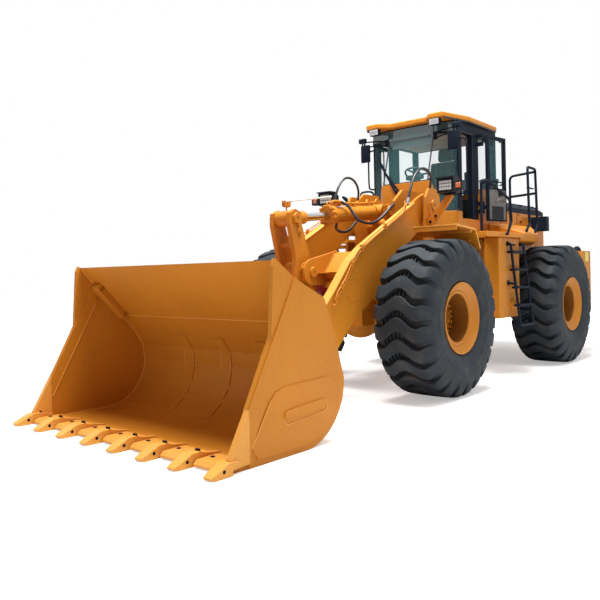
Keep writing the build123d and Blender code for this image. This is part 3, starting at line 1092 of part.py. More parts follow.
# ---- stack, intake, hoses ----------------------------------------------------------------------
def stacks():
    sx = STEER_X
    low = HOOD_TOP_Z + SEAT_GAP
    exhaust = rod_z(sx - 1650, -200, 75, low, 3050) + rod_z(sx - 1650, -200, 50, 3000, 3200)
    intake = rod_z(sx - 1600, 220, 70, low, 2800) + rod_z(sx - 1600, 220, 150, 2800, 3000)
    box = block(sx - 1310, sx - 1110, 250, 520, low, 2800)
    return [exhaust, intake, box]


save("stacks", stacks())
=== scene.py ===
"""Looks of an articulated wheel loader: paint, rubber, glass and the fittings on its CAD frame.

Places are in metres: x ahead of the front axle, y outward on the side in hand, z above the ground.
"""
import bpy
import bmesh
import json
from math import cos, pi, radians, sin
from mathutils import Matrix, Vector


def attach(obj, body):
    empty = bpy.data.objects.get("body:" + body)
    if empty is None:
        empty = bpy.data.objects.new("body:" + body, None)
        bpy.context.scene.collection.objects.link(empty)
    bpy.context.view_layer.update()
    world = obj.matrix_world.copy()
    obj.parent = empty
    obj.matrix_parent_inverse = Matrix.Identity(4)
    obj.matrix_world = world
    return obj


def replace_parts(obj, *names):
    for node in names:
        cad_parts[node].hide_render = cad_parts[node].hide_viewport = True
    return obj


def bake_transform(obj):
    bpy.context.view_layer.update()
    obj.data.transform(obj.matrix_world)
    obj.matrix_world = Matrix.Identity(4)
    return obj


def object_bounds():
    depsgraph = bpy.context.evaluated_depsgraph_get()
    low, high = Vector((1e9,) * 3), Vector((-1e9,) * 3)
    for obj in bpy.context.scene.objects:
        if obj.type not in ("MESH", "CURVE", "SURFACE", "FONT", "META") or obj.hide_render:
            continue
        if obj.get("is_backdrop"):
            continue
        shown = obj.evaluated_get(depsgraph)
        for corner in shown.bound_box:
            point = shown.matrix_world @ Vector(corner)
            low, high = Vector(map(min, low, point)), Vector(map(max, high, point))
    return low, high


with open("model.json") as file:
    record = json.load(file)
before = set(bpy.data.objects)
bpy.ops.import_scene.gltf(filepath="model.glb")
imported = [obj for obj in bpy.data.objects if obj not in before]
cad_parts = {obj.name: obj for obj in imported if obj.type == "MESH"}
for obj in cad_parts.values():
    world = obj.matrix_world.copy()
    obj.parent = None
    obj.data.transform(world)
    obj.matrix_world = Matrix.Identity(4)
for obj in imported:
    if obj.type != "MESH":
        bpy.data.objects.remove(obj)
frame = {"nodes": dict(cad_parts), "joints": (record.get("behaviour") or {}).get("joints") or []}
cad_low, cad_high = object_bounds()
pivot = {joint["name"]: Vector(joint["pos_m"]) for joint in frame["joints"] if "pos_m" in joint}
HUB_Z = pivot["wheel_front_left_spin"].z
AXLE = Vector((pivot["wheel_front_left_spin"].x, 0, 0))         # the front axle in the CAD frame
FROM_AXLE = Matrix.Translation(AXLE)
AHEAD, OUT, UP = (1, 0, 0), (0, 1, 0), (0, 0, 1)
FRONT, REAR = "front_frame", "rear_frame"


def placed(name, data):
    """A new object in the scene."""
    thing = bpy.data.objects.new(name, data)
    bpy.context.scene.collection.objects.link(thing)
    return thing


# ---- camera ----
turn, roll = radians(41.1), radians(-1.13)
sight = Vector((-cos(turn), -sin(turn), 0))
level = Vector((-sin(turn), cos(turn), 0))
upright = level.cross(sight)
right = cos(roll) * level + sin(roll) * upright
top = cos(roll) * upright - sin(roll) * level
camera = placed("camera", bpy.data.cameras.new("camera"))
camera.matrix_world = (Matrix.Translation((AXLE.x + 7.092, 5.147, 1.482))
                       @ Matrix((right, top, -sight)).transposed().to_4x4())
camera.data.lens = 39.75
camera.data.shift_y = -0.0421
camera.data.clip_end = 200
bpy.context.scene.camera = camera


# ---- finishes ----
def fill(tree, node, inputs):
    """Gives a node's inputs their values, or links them where the value is another node's output."""
    for key, value in inputs.items():
        if isinstance(value, bpy.types.NodeSocket):
            tree.links.new(value, node.inputs[key])
        else:
            node.inputs[key].default_value = value
    return node


def add_node(tree, kind, inputs=None, **settings):
    """A shader node with its settings and inputs."""
    node = tree.nodes.new("ShaderNode" + kind)
    for key, value in settings.items():
        setattr(node, key, value)
    return fill(tree, node, inputs or {})


def scaled(colour, share):
    return tuple(channel * share for channel in colour)


class Finish:
    """A material in the making."""

    def __init__(self, name, roughness, metallic=0):
        self.material = bpy.data.materials.new(name)
        self.material.use_nodes = True
        self.tree = self.material.node_tree
        self.place = add_node(self.tree, "TexCoord").outputs["Object"]
        self.shade({"Roughness": roughness, "Metallic": metallic})

    def shade(self, inputs):
        fill(self.tree, self.tree.nodes["Principled BSDF"], inputs)

    def clouds(self, scale, detail, stretch=None):
        """A noise pattern, stretched along an axis where the finish runs one way."""
        place = self.place
        if stretch:
            place = add_node(self.tree, "Mapping", {"Scale": stretch, "Vector": place}).outputs["Vector"]
        noise = add_node(self.tree, "TexNoise", {"Scale": scale, "Detail": detail, "Vector": place})
        return noise.outputs["Fac"]

    def tones(self, pattern, *steps):
        """Colours spread over a pattern: (position, colour) pairs."""
        ramp = add_node(self.tree, "ValToRGB", {"Fac": pattern})
        elements = ramp.color_ramp.elements
        while len(elements) < len(steps):
            elements.new(0.5)
        for element, (position, colour) in zip(elements, steps):
            element.position = position
            element.color = (*colour, 1)
        return ramp.outputs["Color"]

    def mix(self, kind, share, base, over):
        inputs = {0: share, 6: base, 7: over}
        return add_node(self.tree, "Mix", inputs, data_type="RGBA", blend_type=kind).outputs[2]

    def relief(self, pattern, distance, strength):
        bump = {"Height": pattern, "Distance": distance, "Strength": strength}
        self.shade({"Normal": add_node(self.tree, "Bump", bump).outputs["Normal"]})

    def roughen(self, pattern, low, high):
        span = add_node(self.tree, "MapRange", {"Value": pattern, "To Min": low, "To Max": high})
        self.shade({"Roughness": span.outputs["Result"]})


def paint(name, tones, roughness, coat, specular=0.18, black_above=None):
    """Sprayed enamel: slow drifts of tone, dust flecks and the skin of a sprayed coat."""
    kit = Finish(name, roughness)
    drift = kit.tones(kit.clouds(0.9, 6), *zip((0.3, 0.5, 0.72), tones))
    flecks = kit.tones(kit.clouds(34, 5), (0.35, (0.9, 0.9, 0.9)), (0.62, (1, 1, 1)))
    colour = kit.mix("MULTIPLY", 0.55, drift, flecks)
    if black_above:
        height = add_node(kit.tree, "SeparateXYZ", {0: kit.place}).outputs["Z"]
        above = add_node(kit.tree, "Math", {0: height, 1: black_above}, operation="GREATER_THAN")
        colour = kit.mix("MIX", above.outputs[0], colour, (0.01, 0.014, 0.021, 1))
    kit.shade({"Base Color": colour, "Specular IOR Level": specular, "Coat Weight": coat,
               "Coat Roughness": 0.18})
    kit.roughen(kit.clouds(5, 6), roughness - 0.07, roughness + 0.1)
    kit.relief(kit.clouds(260, 2), 0.0004, 0.25)
    return kit.material


def moulded(name, colour, lighter, roughness, grain=420):
    """Moulded plastic, casting or foam with a fine pebbled skin."""
    kit = Finish(name, roughness)
    kit.shade({"Base Color": kit.tones(kit.clouds(7, 5), (0.35, colour), (0.7, lighter))})
    kit.relief(kit.clouds(grain, 3), 0.0006, 0.5)
    return kit.material


def rubber(name):
    """Tyre rubber: blue-black, with patches of brown dust."""
    kit = Finish(name, 0.62)
    base = kit.tones(kit.clouds(3.2, 6), (0.3, (0.012, 0.017, 0.022)), (0.7, (0.024, 0.03, 0.036)))
    dust = kit.tones(kit.clouds(5.5, 8), (0.52, (0, 0, 0)), (0.78, (0.036, 0.026, 0.017)))
    kit.shade({"Base Color": kit.mix("ADD", 0.8, base, dust), "Specular IOR Level": 0.22})
    kit.roughen(kit.clouds(9, 5), 0.55, 0.8)
    kit.relief(kit.clouds(120, 4), 0.0012, 0.4)
    return kit.material


def bright_metal(name, colour, roughness, stretch):
    """Metal with fine marks that run one way."""
    kit = Finish(name, roughness, 1.0)
    marks = kit.clouds(60, 3, stretch)
    kit.shade({"Base Color": kit.tones(marks, (0.3, scaled(colour, 0.85)), (0.7, colour))})
    kit.roughen(marks, roughness, roughness + 0.12)
    return kit.material


def glass_and_shade_sheet(name, colour, alpha):
    kit = Finish(name, 0.05)
    tone = kit.tones(kit.clouds(2.5, 2), (0.3, colour), (0.8, scaled(colour, 1.08)))
    kit.shade({"Base Color": tone, "Alpha": alpha, "Coat Weight": 1.0, "Coat Roughness": 0.02})
    return kit.material


def lens(name, colour, glow, cells):
    """A lamp lens with a moulded grid of cells."""
    kit = Finish(name, 0.15)
    grid = add_node(kit.tree, "Mapping", {"Scale": (cells, cells, cells), "Vector": kit.place})
    cell = add_node(kit.tree, "TexVoronoi", {"Scale": 1.0, "Randomness": 0, "Vector": grid.outputs["Vector"]})
    pattern = cell.outputs["Distance"]
    tone = kit.tones(pattern, (0.1, colour), (0.75, scaled(colour, 0.6)))
    kit.shade({"Base Color": tone, "Coat Weight": 1.0, "Emission Color": (*colour, 1),
               "Emission Strength": glow})
    kit.relief(pattern, 0.004, 0.8)
    return kit.material


def cloth(name):
    """Seat cloth: a fine woven rib over dark grey."""
    kit = Finish(name, 0.88)
    wave = add_node(kit.tree, "TexWave", {"Scale": 150, "Distortion": 1.2, "Vector": kit.place})
    weave = wave.outputs["Fac"]
    tone = kit.tones(weave, (0.2, (0.085, 0.1, 0.112)), (0.8, (0.15, 0.17, 0.185)))
    patches = kit.tones(kit.clouds(12, 5), (0.3, (0.85, 0.85, 0.85)), (0.7, (1, 1, 1)))
    kit.shade({"Base Color": kit.mix("MULTIPLY", 0.7, tone, patches), "Sheen Weight": 0.3})
    kit.relief(weave, 0.0012, 0.6)
    return kit.material


ORANGE_TONES = (0.515, 0.182, 0.014), (0.565, 0.205, 0.017), (0.61, 0.23, 0.022)
ORANGE = paint("orange_enamel", ORANGE_TONES, 0.44, 0.12)
LAMP_PAINT = paint("lamp_case_enamel", ORANGE_TONES, 0.44, 0.12, black_above=2.478)
BUCKET_PAINT = paint("bucket_enamel", ORANGE_TONES, 0.5, 0.06)
# a lighter orange on the teeth, lip plates, weld beads, top flanges and fender edges: painted highlight, the
# light that these edges catch
EDGE_HIGHLIGHT_PAINT = paint("edge_highlight_enamel", ((0.68, 0.29, 0.045), (0.74, 0.33, 0.06), (0.8, 0.37, 0.08)), 0.42, 0.12)
# a darker orange for the rim's dish: painted shade in its recess
RIM_DISH_SHADE_PAINT = paint("rim_dish_shade_enamel", ((0.17, 0.056, 0.006), (0.2, 0.068, 0.007), (0.23, 0.08, 0.009)), 0.5, 0.05)
LIP_TONES = (0.42, 0.15, 0.014), (0.47, 0.172, 0.017), (0.52, 0.195, 0.021)
LIP_PAINT = paint("rim_lip_enamel", LIP_TONES, 0.46, 0.08)
BLACK_TONES = (0.004, 0.007, 0.014), (0.007, 0.011, 0.02), (0.01, 0.016, 0.027)
BLACK = paint("black_enamel", BLACK_TONES, 0.5, 0, 0.08)
RED_OXIDE = paint("red_enamel", ((0.1, 0.006, 0.012), (0.16, 0.008, 0.016), (0.2, 0.012, 0.02)), 0.4, 0.3)
TRIM = moulded("grey_trim", (0.115, 0.108, 0.1), (0.15, 0.142, 0.132), 0.6)
DARK_TRIM = moulded("dark_trim", (0.016, 0.019, 0.024), (0.028, 0.032, 0.038), 0.55)
ENGINE_PAINT = moulded("engine_casting", (0.05, 0.052, 0.055), (0.09, 0.09, 0.09), 0.6, 160)
HOSE = moulded("hose_rubber", (0.012, 0.013, 0.016), (0.024, 0.025, 0.03), 0.36, 600)
INDICATOR_PAINT = moulded("indicator_paint", (0.62, 0.6, 0.52), (0.72, 0.7, 0.62), 0.5)
LINER = moulded("cab_liner", (0.36, 0.31, 0.24), (0.44, 0.38, 0.3), 0.8)
SUN_SHADE = moulded("sun_shade", (0.1, 0.13, 0.15), (0.14, 0.17, 0.19), 0.7)
STRIPE = moulded("reflective_stripe", (0.72, 0.6, 0.06), (0.8, 0.68, 0.1), 0.35, 300)
RUBBER = rubber("tyre_rubber")
CHROME = bright_metal("chromed_rod", (0.74, 0.76, 0.8), 0.08, (1, 8, 8))
STEEL = bright_metal("bare_steel", (0.42, 0.43, 0.45), 0.32, (1, 1, 6))
MIRROR = bright_metal("mirror_silver", (0.82, 0.85, 0.88), 0.03, (1, 1, 1))
GLASS = glass_and_shade_sheet("window_glass", (0.15, 0.44, 0.46), 0.065)
# an opaque blue-grey sheet over the windscreen's header: painted shade standing in for the dark, shaded
# ceiling and sunshade seen through the upper glass
SCREEN_SHADE_BAND = glass_and_shade_sheet("screen_shade_band", (0.055, 0.105, 0.115), 1.0)
CLEAR_LENS = lens("clear_lens", (0.62, 0.65, 0.67), 0.05, 30)
AMBER_LENS = lens("amber_lens", (0.6, 0.13, 0.01), 0.03, 40)
RED_LENS = lens("red_lens", (0.42, 0.012, 0.012), 0.05, 40)
SEAT_CLOTH = cloth("seat_cloth")
# the slot that goes with a finish, where a piece doesn't ask for another
SLOTS = {finish.name: slot for slot, finishes in (
    ("orange", (ORANGE, BUCKET_PAINT, EDGE_HIGHLIGHT_PAINT, LIP_PAINT, RED_OXIDE)), ("black", (BLACK, DARK_TRIM)),
    ("trim", (TRIM, INDICATOR_PAINT, LINER, SUN_SHADE, STRIPE)), ("iron", (HOSE,)), ("tyre", (RUBBER,)),
    ("chrome", (STEEL, MIRROR)), ("glass", (CLEAR_LENS, SCREEN_SHADE_BAND)), ("red_lens", (AMBER_LENS, RED_LENS)),
) for finish in finishes}


# ---- making pieces ----
MERGE = 0.00001         # corners this close are one


def add_modifier(piece, name, kind, **settings):
    modifier = piece.modifiers.new(name, kind)
    for key, value in settings.items():
        setattr(modifier, key, value)
    return modifier


def evaluated_mesh(piece):
    """A piece's mesh with its modifiers applied."""
    return bpy.data.meshes.new_from_object(piece.evaluated_get(bpy.context.evaluated_depsgraph_get()))


def between(low, high, count):
    """The places that part a stretch into equal shares."""
    return [low + (high - low) * step / count for step in range(1, count)]


def arc(x, z, radius, turns):
    """Points round a middle in the plane along the machine, at turns in degrees."""
    return [(x + radius * cos(radians(turn)), z + radius * sin(radians(turn))) for turn in turns]


class Shape:
    """The piece in the making: what is added goes on the side in hand, until made() hands it over."""

    def __init__(self):
        self.mesh = bmesh.new()
        self.side = 1

    def sides(self):
        """Takes the machine's left side in hand, then its right side."""
        for name, self.side in (("left", 1), ("right", -1)):
            yield name
        self.side = 1

    def spot(self, place):
        return Vector((place[0], self.side * place[1], place[2]))

    def box(self, low, high):
        low, high = self.spot(low), self.spot(high)
        place = Matrix.Translation((low + high) / 2) @ Matrix.Diagonal((*(high - low), 1))
        return bmesh.ops.create_cube(self.mesh, size=1, matrix=place)["verts"]

    def rounded_box(self, low, high, radius, segments=4):
        """A box whose edges and corners are all rounded."""
        edges = list({edge for vert in self.box(low, high) for edge in vert.link_edges})
        bmesh.ops.bevel(self.mesh, geom=edges, offset=radius, segments=segments, profile=0.5, affect="EDGES",
                        material=-1)

    def rod(self, start, end, radius, segments=24, end_radius=None):
        start, end = self.spot(start), self.spot(end)
        run = end - start
        place = Matrix.Translation((start + end) / 2) @ run.to_track_quat("Z", "Y").to_matrix().to_4x4()
        last = radius if end_radius is None else end_radius
        bmesh.ops.create_cone(self.mesh, cap_ends=True, segments=segments, radius1=radius, radius2=last,
                              depth=run.length, matrix=place)

    def bead(self, points, width):
        """A weld's bead: a low half-round ridge along straight runs."""
        for start, end in zip(points, points[1:]):
            self.rod(start, end, width, 8)

    def loop_bar(self, points, radius):
        """Straight round runs with balls at their corners."""
        for start, end in zip(points, points[1:]):
            self.rod(start, end, radius, 12)
        for place in points[1:-1]:
            bmesh.ops.create_uvsphere(self.mesh, u_segments=12, v_segments=8, radius=radius,
                                      matrix=Matrix.Translation(self.spot(place)))

    def bar(self, points, across, width, depth):
        """Flat bars along straight runs: their width lies along the across direction."""
        across = Vector(across).normalized()
        points = [self.spot(place) for place in points]
        for start, end in zip(points, points[1:]):
            run = (end - start).normalized()
            place = Matrix((run, across, run.cross(across).normalized())).transposed().to_4x4()
            place.translation = (start + end) / 2
            size = Matrix.Diagonal(((end - start).length, width, depth, 1))
            bmesh.ops.create_cube(self.mesh, size=1, matrix=place @ size)

    def plate(self, outline, low, high, axis=1):
        """A flat plate: its outline's corners on the two other axes, between two places on this axis."""
        corners = []
        for place in map(list, outline):
            place.insert(axis, low)
            corners.append(self.mesh.verts.new(self.spot(place)))
        face = self.mesh.faces.new(corners)
        grown = bmesh.ops.extrude_face_region(self.mesh, geom=[face])["geom"]
        step = [0, 0, 0]
        step[axis] = high - low
        bmesh.ops.translate(self.mesh, vec=self.spot(step),
                            verts=[part for part in grown if isinstance(part, bmesh.types.BMVert)])

    def ring(self, centre, axis, outline, segments=96):
        """A turned ring: its section's (radius, along) corners spun about an axis through the centre."""
        centre, axis = self.spot(centre), self.spot(axis).normalized()
        out = axis.orthogonal().normalized()
        corners = [self.mesh.verts.new(centre + out * radius + axis * along) for radius, along in outline]
        edges = [self.mesh.edges.new(pair) for pair in zip(corners, corners[1:] + corners[:1])]
        bmesh.ops.spin(self.mesh, geom=corners + edges, cent=centre, axis=axis, angle=2 * pi, steps=segments,
                       use_merge=True)
        on_axis = [vert for vert in self.mesh.verts if (vert.co - centre).cross(axis).length < MERGE]
        bmesh.ops.remove_doubles(self.mesh, verts=on_axis, dist=MERGE)

    def bolt(self, place, axis, radius, height):
        """A hexagon head on a washer."""
        place, axis = Vector(place), Vector(axis).normalized()
        self.rod(place, place + axis * height * 0.25, radius * 1.35, 16)
        self.rod(place + axis * height * 0.25, place + axis * height, radius, 6)

    def bolt_circle(self, centre, reach, count, radius, height, first=0):
        """Bolts round a middle, with their heads outward."""
        for step in range(count):
            turn = 2 * pi * (step + first) / count
            self.bolt(Vector(centre) + reach * Vector((cos(turn), 0, sin(turn))), OUT, radius, height)

    def pin_head(self, centre, radius, height, axis=OUT):
        """A pin's end in its collar: a chamfered disc with a grease nipple in a shallow well."""
        self.ring(centre, axis, [
            (0, 0), (radius, 0), (radius, height * 0.6), (radius * 0.93, height), (radius * 0.3, height),
            (radius * 0.26, height * 0.55), (0, height * 0.55)], 40)
        centre, axis = Vector(centre), Vector(axis)
        self.rod(centre + axis * height * 0.5, centre + axis * height * 0.95, radius * 0.1, 8)

    def keeper(self, place, run, length):
        """A keeper plate beside a pin: a round-ended bar held by two bolts."""
        place, run, out = Vector(place), Vector(run).normalized(), Vector(OUT)
        end = place + run * length
        self.bar([place + out * 0.007, end + out * 0.007], self.spot(out.cross(run)), 0.05, 0.014)
        for spot in (place, end):
            self.rod(spot, spot + out * 0.014, 0.025, 20)
            self.bolt(spot + out * 0.014, OUT, 0.011, 0.012)

    def taken(self, name):
        """Hands over what was added as a mesh and starts the next one."""
        bmesh.ops.recalc_face_normals(self.mesh, faces=self.mesh.faces)
        mesh = bpy.data.meshes.new(name)
        self.mesh.to_mesh(mesh)
        self.mesh.clear()
        return mesh

    def made(self, name, body, finish, edge=0, slot=None, segments=2, soft_edge=35, moved=Matrix()):
        """Turns what was added into a piece that rides on a body."""
        mesh = self.taken(name)
        mesh.transform(FROM_AXLE @ moved)
        mesh.shade_smooth()
        mesh.set_sharp_from_angle(angle=radians(soft_edge))
        mesh.materials.append(finish)
        piece = placed(name, mesh)
        if edge:
            add_modifier(piece, "rounding", "BEVEL", width=edge, segments=segments, angle_limit=radians(30),
                         harden_normals=True)
        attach(piece, body)
        slot or SLOTS[finish.name]
        return piece


shape = Shape()
box, rounded_box, rod, bar, bead, loop_bar = (
    shape.box, shape.rounded_box, shape.rod, shape.bar, shape.bead, shape.loop_bar)
plate, ring, bolt, bolt_circle, pin_head, keeper = (
    shape.plate, shape.ring, shape.bolt, shape.bolt_circle, shape.pin_head, shape.keeper)
sides, made = shape.sides, shape.made


def pipe_curve(name, routes, radius, finish, roundness, moved=Matrix()):
    """Round pipes or hoses, each along one smooth route on the side in hand."""
    curve = bpy.data.curves.new(name, "CURVE")
    curve.dimensions = "3D"
    curve.bevel_depth = radius
    curve.bevel_resolution = roundness
    curve.resolution_u = 8
    curve.use_fill_caps = True
    for route in routes:
        spline = curve.splines.new("NURBS")
        spline.points.add(len(route) - 1)
        for point, place in zip(spline.points, route):
            point.co = (*(FROM_AXLE @ moved @ shape.spot(place)), 1)
        spline.order_u = 3
        spline.use_endpoint_u = True
    curve.materials.append(finish)
    return placed(name, curve)


def run_pipes(name, routes, radius, body, finish, roundness=6, moved=Matrix()):
    piece = pipe_curve(name, routes, radius, finish, roundness, moved)
    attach(piece, body)


def softened(node, finish, edge):
    """A CAD piece with its finish and its corners eased."""
    piece = frame["nodes"][node]
    piece.data.materials.clear()
    piece.data.materials.append(finish)
    if edge:
        add_modifier(piece, "seam", "WELD", merge_threshold=0.00005)
        add_modifier(piece, "flat", "DECIMATE", decimate_type="DISSOLVE", angle_limit=radians(0.6))
        add_modifier(piece, "rounding", "BEVEL", width=edge, segments=2, angle_limit=radians(32),
                     harden_normals=True)


# a finish, the easing of the corners, and the CAD nodes that have them
for finish, edge, nodes in (
        (ORANGE, 0.006, "boom link tilt_barrel front_axle rear_axle decks"),
        (ORANGE, 0.008, "bellcrank cab_base"),
        (ORANGE, 0.005, "lift_barrel front_frame rear_frame"), (ORANGE, 0.003, "front_fenders"),
        (ORANGE, 0.004, "hood_sides"), (ORANGE, 0.012, "side_boxes"), (ORANGE, 0.018, "tanks"),
        (ORANGE, 0.022, "cab_roof"), (ORANGE, 0.03, "counterweight"), (LAMP_PAINT, 0.008, "headlamps"),
        (BUCKET_PAINT, 0.004, "bucket"), (EDGE_HIGHLIGHT_PAINT, 0.006, "bucket_teeth"),
        (CHROME, 0.004, "tilt_rod lift_rod"),
        (CHROME, 0.003, "steer_rod_left steer_rod_right"),
        (BLACK, 0.003, "steer_barrel_left steer_barrel_right rear_grille ladders"), (BLACK, 0, "handrails"),
        (BLACK, 0.004, "mirrors"), (BLACK, 0.006, "cab_lamps door_left_frame door_right_frame"),
        (BLACK, 0.008, "cab_frame stacks"), (BLACK, 0.01, "rear_lamps"), (BLACK, 0.012, "hood_top"),
        (GLASS, 0, "cab_glass door_left_glass door_right_glass"),
        (TRIM, 0.004, "door_left_trim door_right_trim"),
        (DARK_TRIM, 0.012, "console"), (DARK_TRIM, 0.02, "seat_base"), (ENGINE_PAINT, 0.02, "engine_block"),
        (SEAT_CLOTH, 0.03, "seat_cushion seat_back seat_headrest")):
    for node in nodes.split():
        softened(node, finish, edge)

# ---- wheels ----
LUGS = 24
WAVE = 0.062            # how far a lug's middle stands ahead of its bends
WAVE_HALF = 0.235       # outward place of a lug's bends
WAVE_RADIUS = 0.93      # where the wave is measured
SHOULDER = 0.3         # from here outward a lug runs straight
RIB_RADIUS = 0.882      # middle of the ribs across the grooves
DISH_RADIUS = 0.287     # the rim's dish lies within it, where its paint is darkened as painted shade
# rim nuts and hub bolts: outward place, reach, count, head's radius and height, first one's step
WHEEL_BOLTS = ((0.0175, 0.252, 24, 0.014, 0.03, 0), (0.078, 0.118, 8, 0.01, 0.016, 0.5))
# outward place, radius of the groove's floor, radius of the lug's top
TREAD_SECTION = [
    (0, 0.87, 0.9375), (0.04, 0.87, 0.9374), (0.08, 0.8697, 0.9371), (0.12, 0.869, 0.9366),
    (0.16, 0.868, 0.9358), (0.195, 0.867, 0.9348), (0.23, 0.8655, 0.9332), (0.258, 0.863, 0.9305),
    (0.28, 0.859, 0.925), (0.3, 0.85, 0.912), (0.318, 0.835, 0.89), (0.334, 0.813, 0.862),
    (0.348, 0.786, 0.828), (0.3585, 0.758, 0.792), (0.364, 0.732, 0.756), (0.3665, 0.708, 0.714)]
# outward place and radius of the smooth sidewall, down to the bead
SIDEWALL = [
    (0.3675, 0.685), (0.3675, 0.65), (0.366, 0.615), (0.368, 0.608), (0.368, 0.601), (0.365, 0.594),
    (0.361, 0.56), (0.352, 0.52), (0.343, 0.486), (0.343, 0.478), (0.33, 0.456), (0.315, 0.437),
    (0.308, 0.424), (0.308, 0.402)]
# along one pitch of the tread: share of the pitch, share of the lug's height
LUG_STEPS = [(0, 0), (0.1, 0), (0.2, 0), (0.295, 0.03), (0.325, 0.9), (0.35, 1.0), (0.5, 1.0),
             (0.66, 1.0), (0.82, 1.0), (0.945, 1.0), (0.972, 0.9)]
# radius, outward place
RIM_SECTION = [
    (0.378, -0.33), (0.422, -0.33), (0.426, -0.322), (0.422, -0.3085), (0.4, -0.3075), (0.3995, 0.3075),
    (0.418, 0.309), (0.4235, 0.314), (0.425, 0.323), (0.4215, 0.33), (0.413, 0.332), (0.406, 0.329),
    (0.396, 0.315), (0.38, 0.298), (0.36, 0.282), (0.34, 0.27), (0.33, 0.266), (0.326, 0.269),
    (0.312, 0.272), (0.3, 0.27), (0.29, 0.262), (0.286, 0.25), (0.285, 0.025), (0.265, 0.0175),
    (0.235, 0.0175), (0.23, 0.03), (0.155, 0.034), (0.15, 0.065), (0.14, 0.077), (0.06, 0.08),
    (0, 0.08), (0, 0), (0.1, -0.02), (0.235, -0.02), (0.307, -0.0045), (0.307, 0.2), (0.36, 0.245),
    (0.378, 0.22)]


def wave(out):
    """How far round the tyre a lug stands ahead, at an outward place."""
    return cos(pi * min(abs(out), SHOULDER) / WAVE_HALF) * WAVE / WAVE_RADIUS


def add_tyre(hub):
    """A tyre with wavy bars: a grid wrapped round the carcass and raised where a bar stands."""
    half = TREAD_SECTION + [(out, radius, radius) for out, radius in SIDEWALL]
    section = [(-out, floor, crown) for out, floor, crown in reversed(half[1:])] + half
    rows = LUGS * len(LUG_STEPS)
    bmesh.ops.create_grid(shape.mesh, x_segments=len(section) - 1, y_segments=rows, size=0.5)
    for vert in shape.mesh.verts:
        out, floor, crown = section[round((vert.co.x + 0.5) * (len(section) - 1))]
        row = round((vert.co.y + 0.5) * rows)
        share, height = LUG_STEPS[row % len(LUG_STEPS)]
        angle = (row // len(LUG_STEPS) + share) * 2 * pi / LUGS + wave(out) * (1 if crown > 0.7 else 0.6)
        radius = floor + (crown - floor) * height
        vert.co = shape.spot(hub + Vector((radius * cos(angle), out, radius * sin(angle))))
    bmesh.ops.remove_doubles(shape.mesh, verts=shape.mesh.verts, dist=0.0002)


def add_groove_ribs(hub):
    """Low bars that stand across the grooves near the tread's middle."""
    for lug in range(LUGS):
        for out in (-0.2, -0.15, -0.1, -0.05, 0, 0.05):
            angle = (lug + 0.17) * 2 * pi / LUGS + wave(out)
            place = Matrix.Translation(shape.spot(hub + out * Vector(OUT))) @ Matrix.Rotation(-angle, 4, "Y")
            place @= Matrix.Translation((RIB_RADIUS, 0, 0)) @ Matrix.Diagonal((0.03, 0.012, 0.055, 1))
            bmesh.ops.create_cube(shape.mesh, size=1, matrix=place)


for corner in ("front_left", "front_right", "rear_left", "rear_right"):
    spin, body = pivot[f"wheel_{corner}_spin"] - AXLE, "wheel_" + corner
    shape.side = 1 if spin.y > 0 else -1
    hub = shape.spot(spin)
    add_tyre(hub)
    add_groove_ribs(hub)
    tread = made("tread_" + corner, body, RUBBER, soft_edge=28)
    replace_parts(tread, "tyre_" + corner)
    ring(hub, OUT, RIM_SECTION)
    bmesh.ops.remove_doubles(shape.mesh, verts=shape.mesh.verts, dist=0.0001)
    rim = made("wheel_rim_" + corner, body, LIP_PAINT, soft_edge=40)
    rim.data.materials.append(RIM_DISH_SHADE_PAINT)
    # faces within the dish take the darker paint: painted shade
    for face in rim.data.polygons:
        across = face.center - AXLE - spin
        face.material_index = int(Vector((across.x, across.z)).length < DISH_RADIUS)
    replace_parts(rim, "rim_" + corner)
    for out, *circle in WHEEL_BOLTS:
        bolt_circle(hub + Vector((0, out, 0)), *circle)
    made("wheel_nuts_" + corner, body, ORANGE)
    stem = hub + Vector((0.3, 0.262, 0.16))
    rod(stem, stem + Vector((-0.01, 0.05, 0)), 0.006, 12)
    made("valve_stem_" + corner, body, STEEL)
shape.side = 1

# ---- bucket ----
BUCKET_LIP = 3.74                       # front edge of the bucket's floor
TOOTH_HALF = 0.068                      # half the room that a tooth takes on the lip
TOOTH_PITCH = (2 * 1.53 - 0.11) / 7
TEETH = [-1.475 + TOOTH_PITCH * step for step in range(8)]
GAPS = list(zip(TEETH, TEETH[1:]))
LIP_PLATE = [(BUCKET_LIP + x, z) for x, z in (
    (-0.215, 0.044), (-0.215, 0.06), (0.01, 0.06), (0.045, 0.03), (0.045, 0.012), (0.002, 0.012),
    (0.002, 0.044))]
for near, far in GAPS:
    plate(LIP_PLATE, near + TOOTH_HALF, far - TOOTH_HALF)
made("lip_plates", "bucket", EDGE_HIGHLIGHT_PAINT, 0.003)
for near, far in GAPS:
    for share in (0.28, 0.72):
        y = near + (far - near) * share
        rod((BUCKET_LIP - 0.115, y, 0.059), (BUCKET_LIP - 0.115, y, 0.066), 0.021, 18, 0.018)
for y in TEETH:
    bolt((BUCKET_LIP - 0.058, y, 0.094), (-0.2, 0, 1), 0.022, 0.024)
made("lip_bolts", "bucket", BLACK, slot="iron")
for y in TEETH:
    rod((BUCKET_LIP + 0.088, y - 0.056, 0.05), (BUCKET_LIP + 0.088, y + 0.056, 0.05), 0.0135, 20)
made("tooth_pins", "bucket", BLACK, slot="iron")


def bowl_line(depth, low_turn=181, high_turn=252, steps=16):
    """The bowl's line in the plane along the machine, at a depth above the sheet."""
    turns = [low_turn + (high_turn - low_turn) * step / steps for step in range(steps + 1)]
    return [(2.478 + depth, 0.835), (2.386 + depth, 0.7)] + arc(2.88, 0.545, 0.52 - depth, turns)


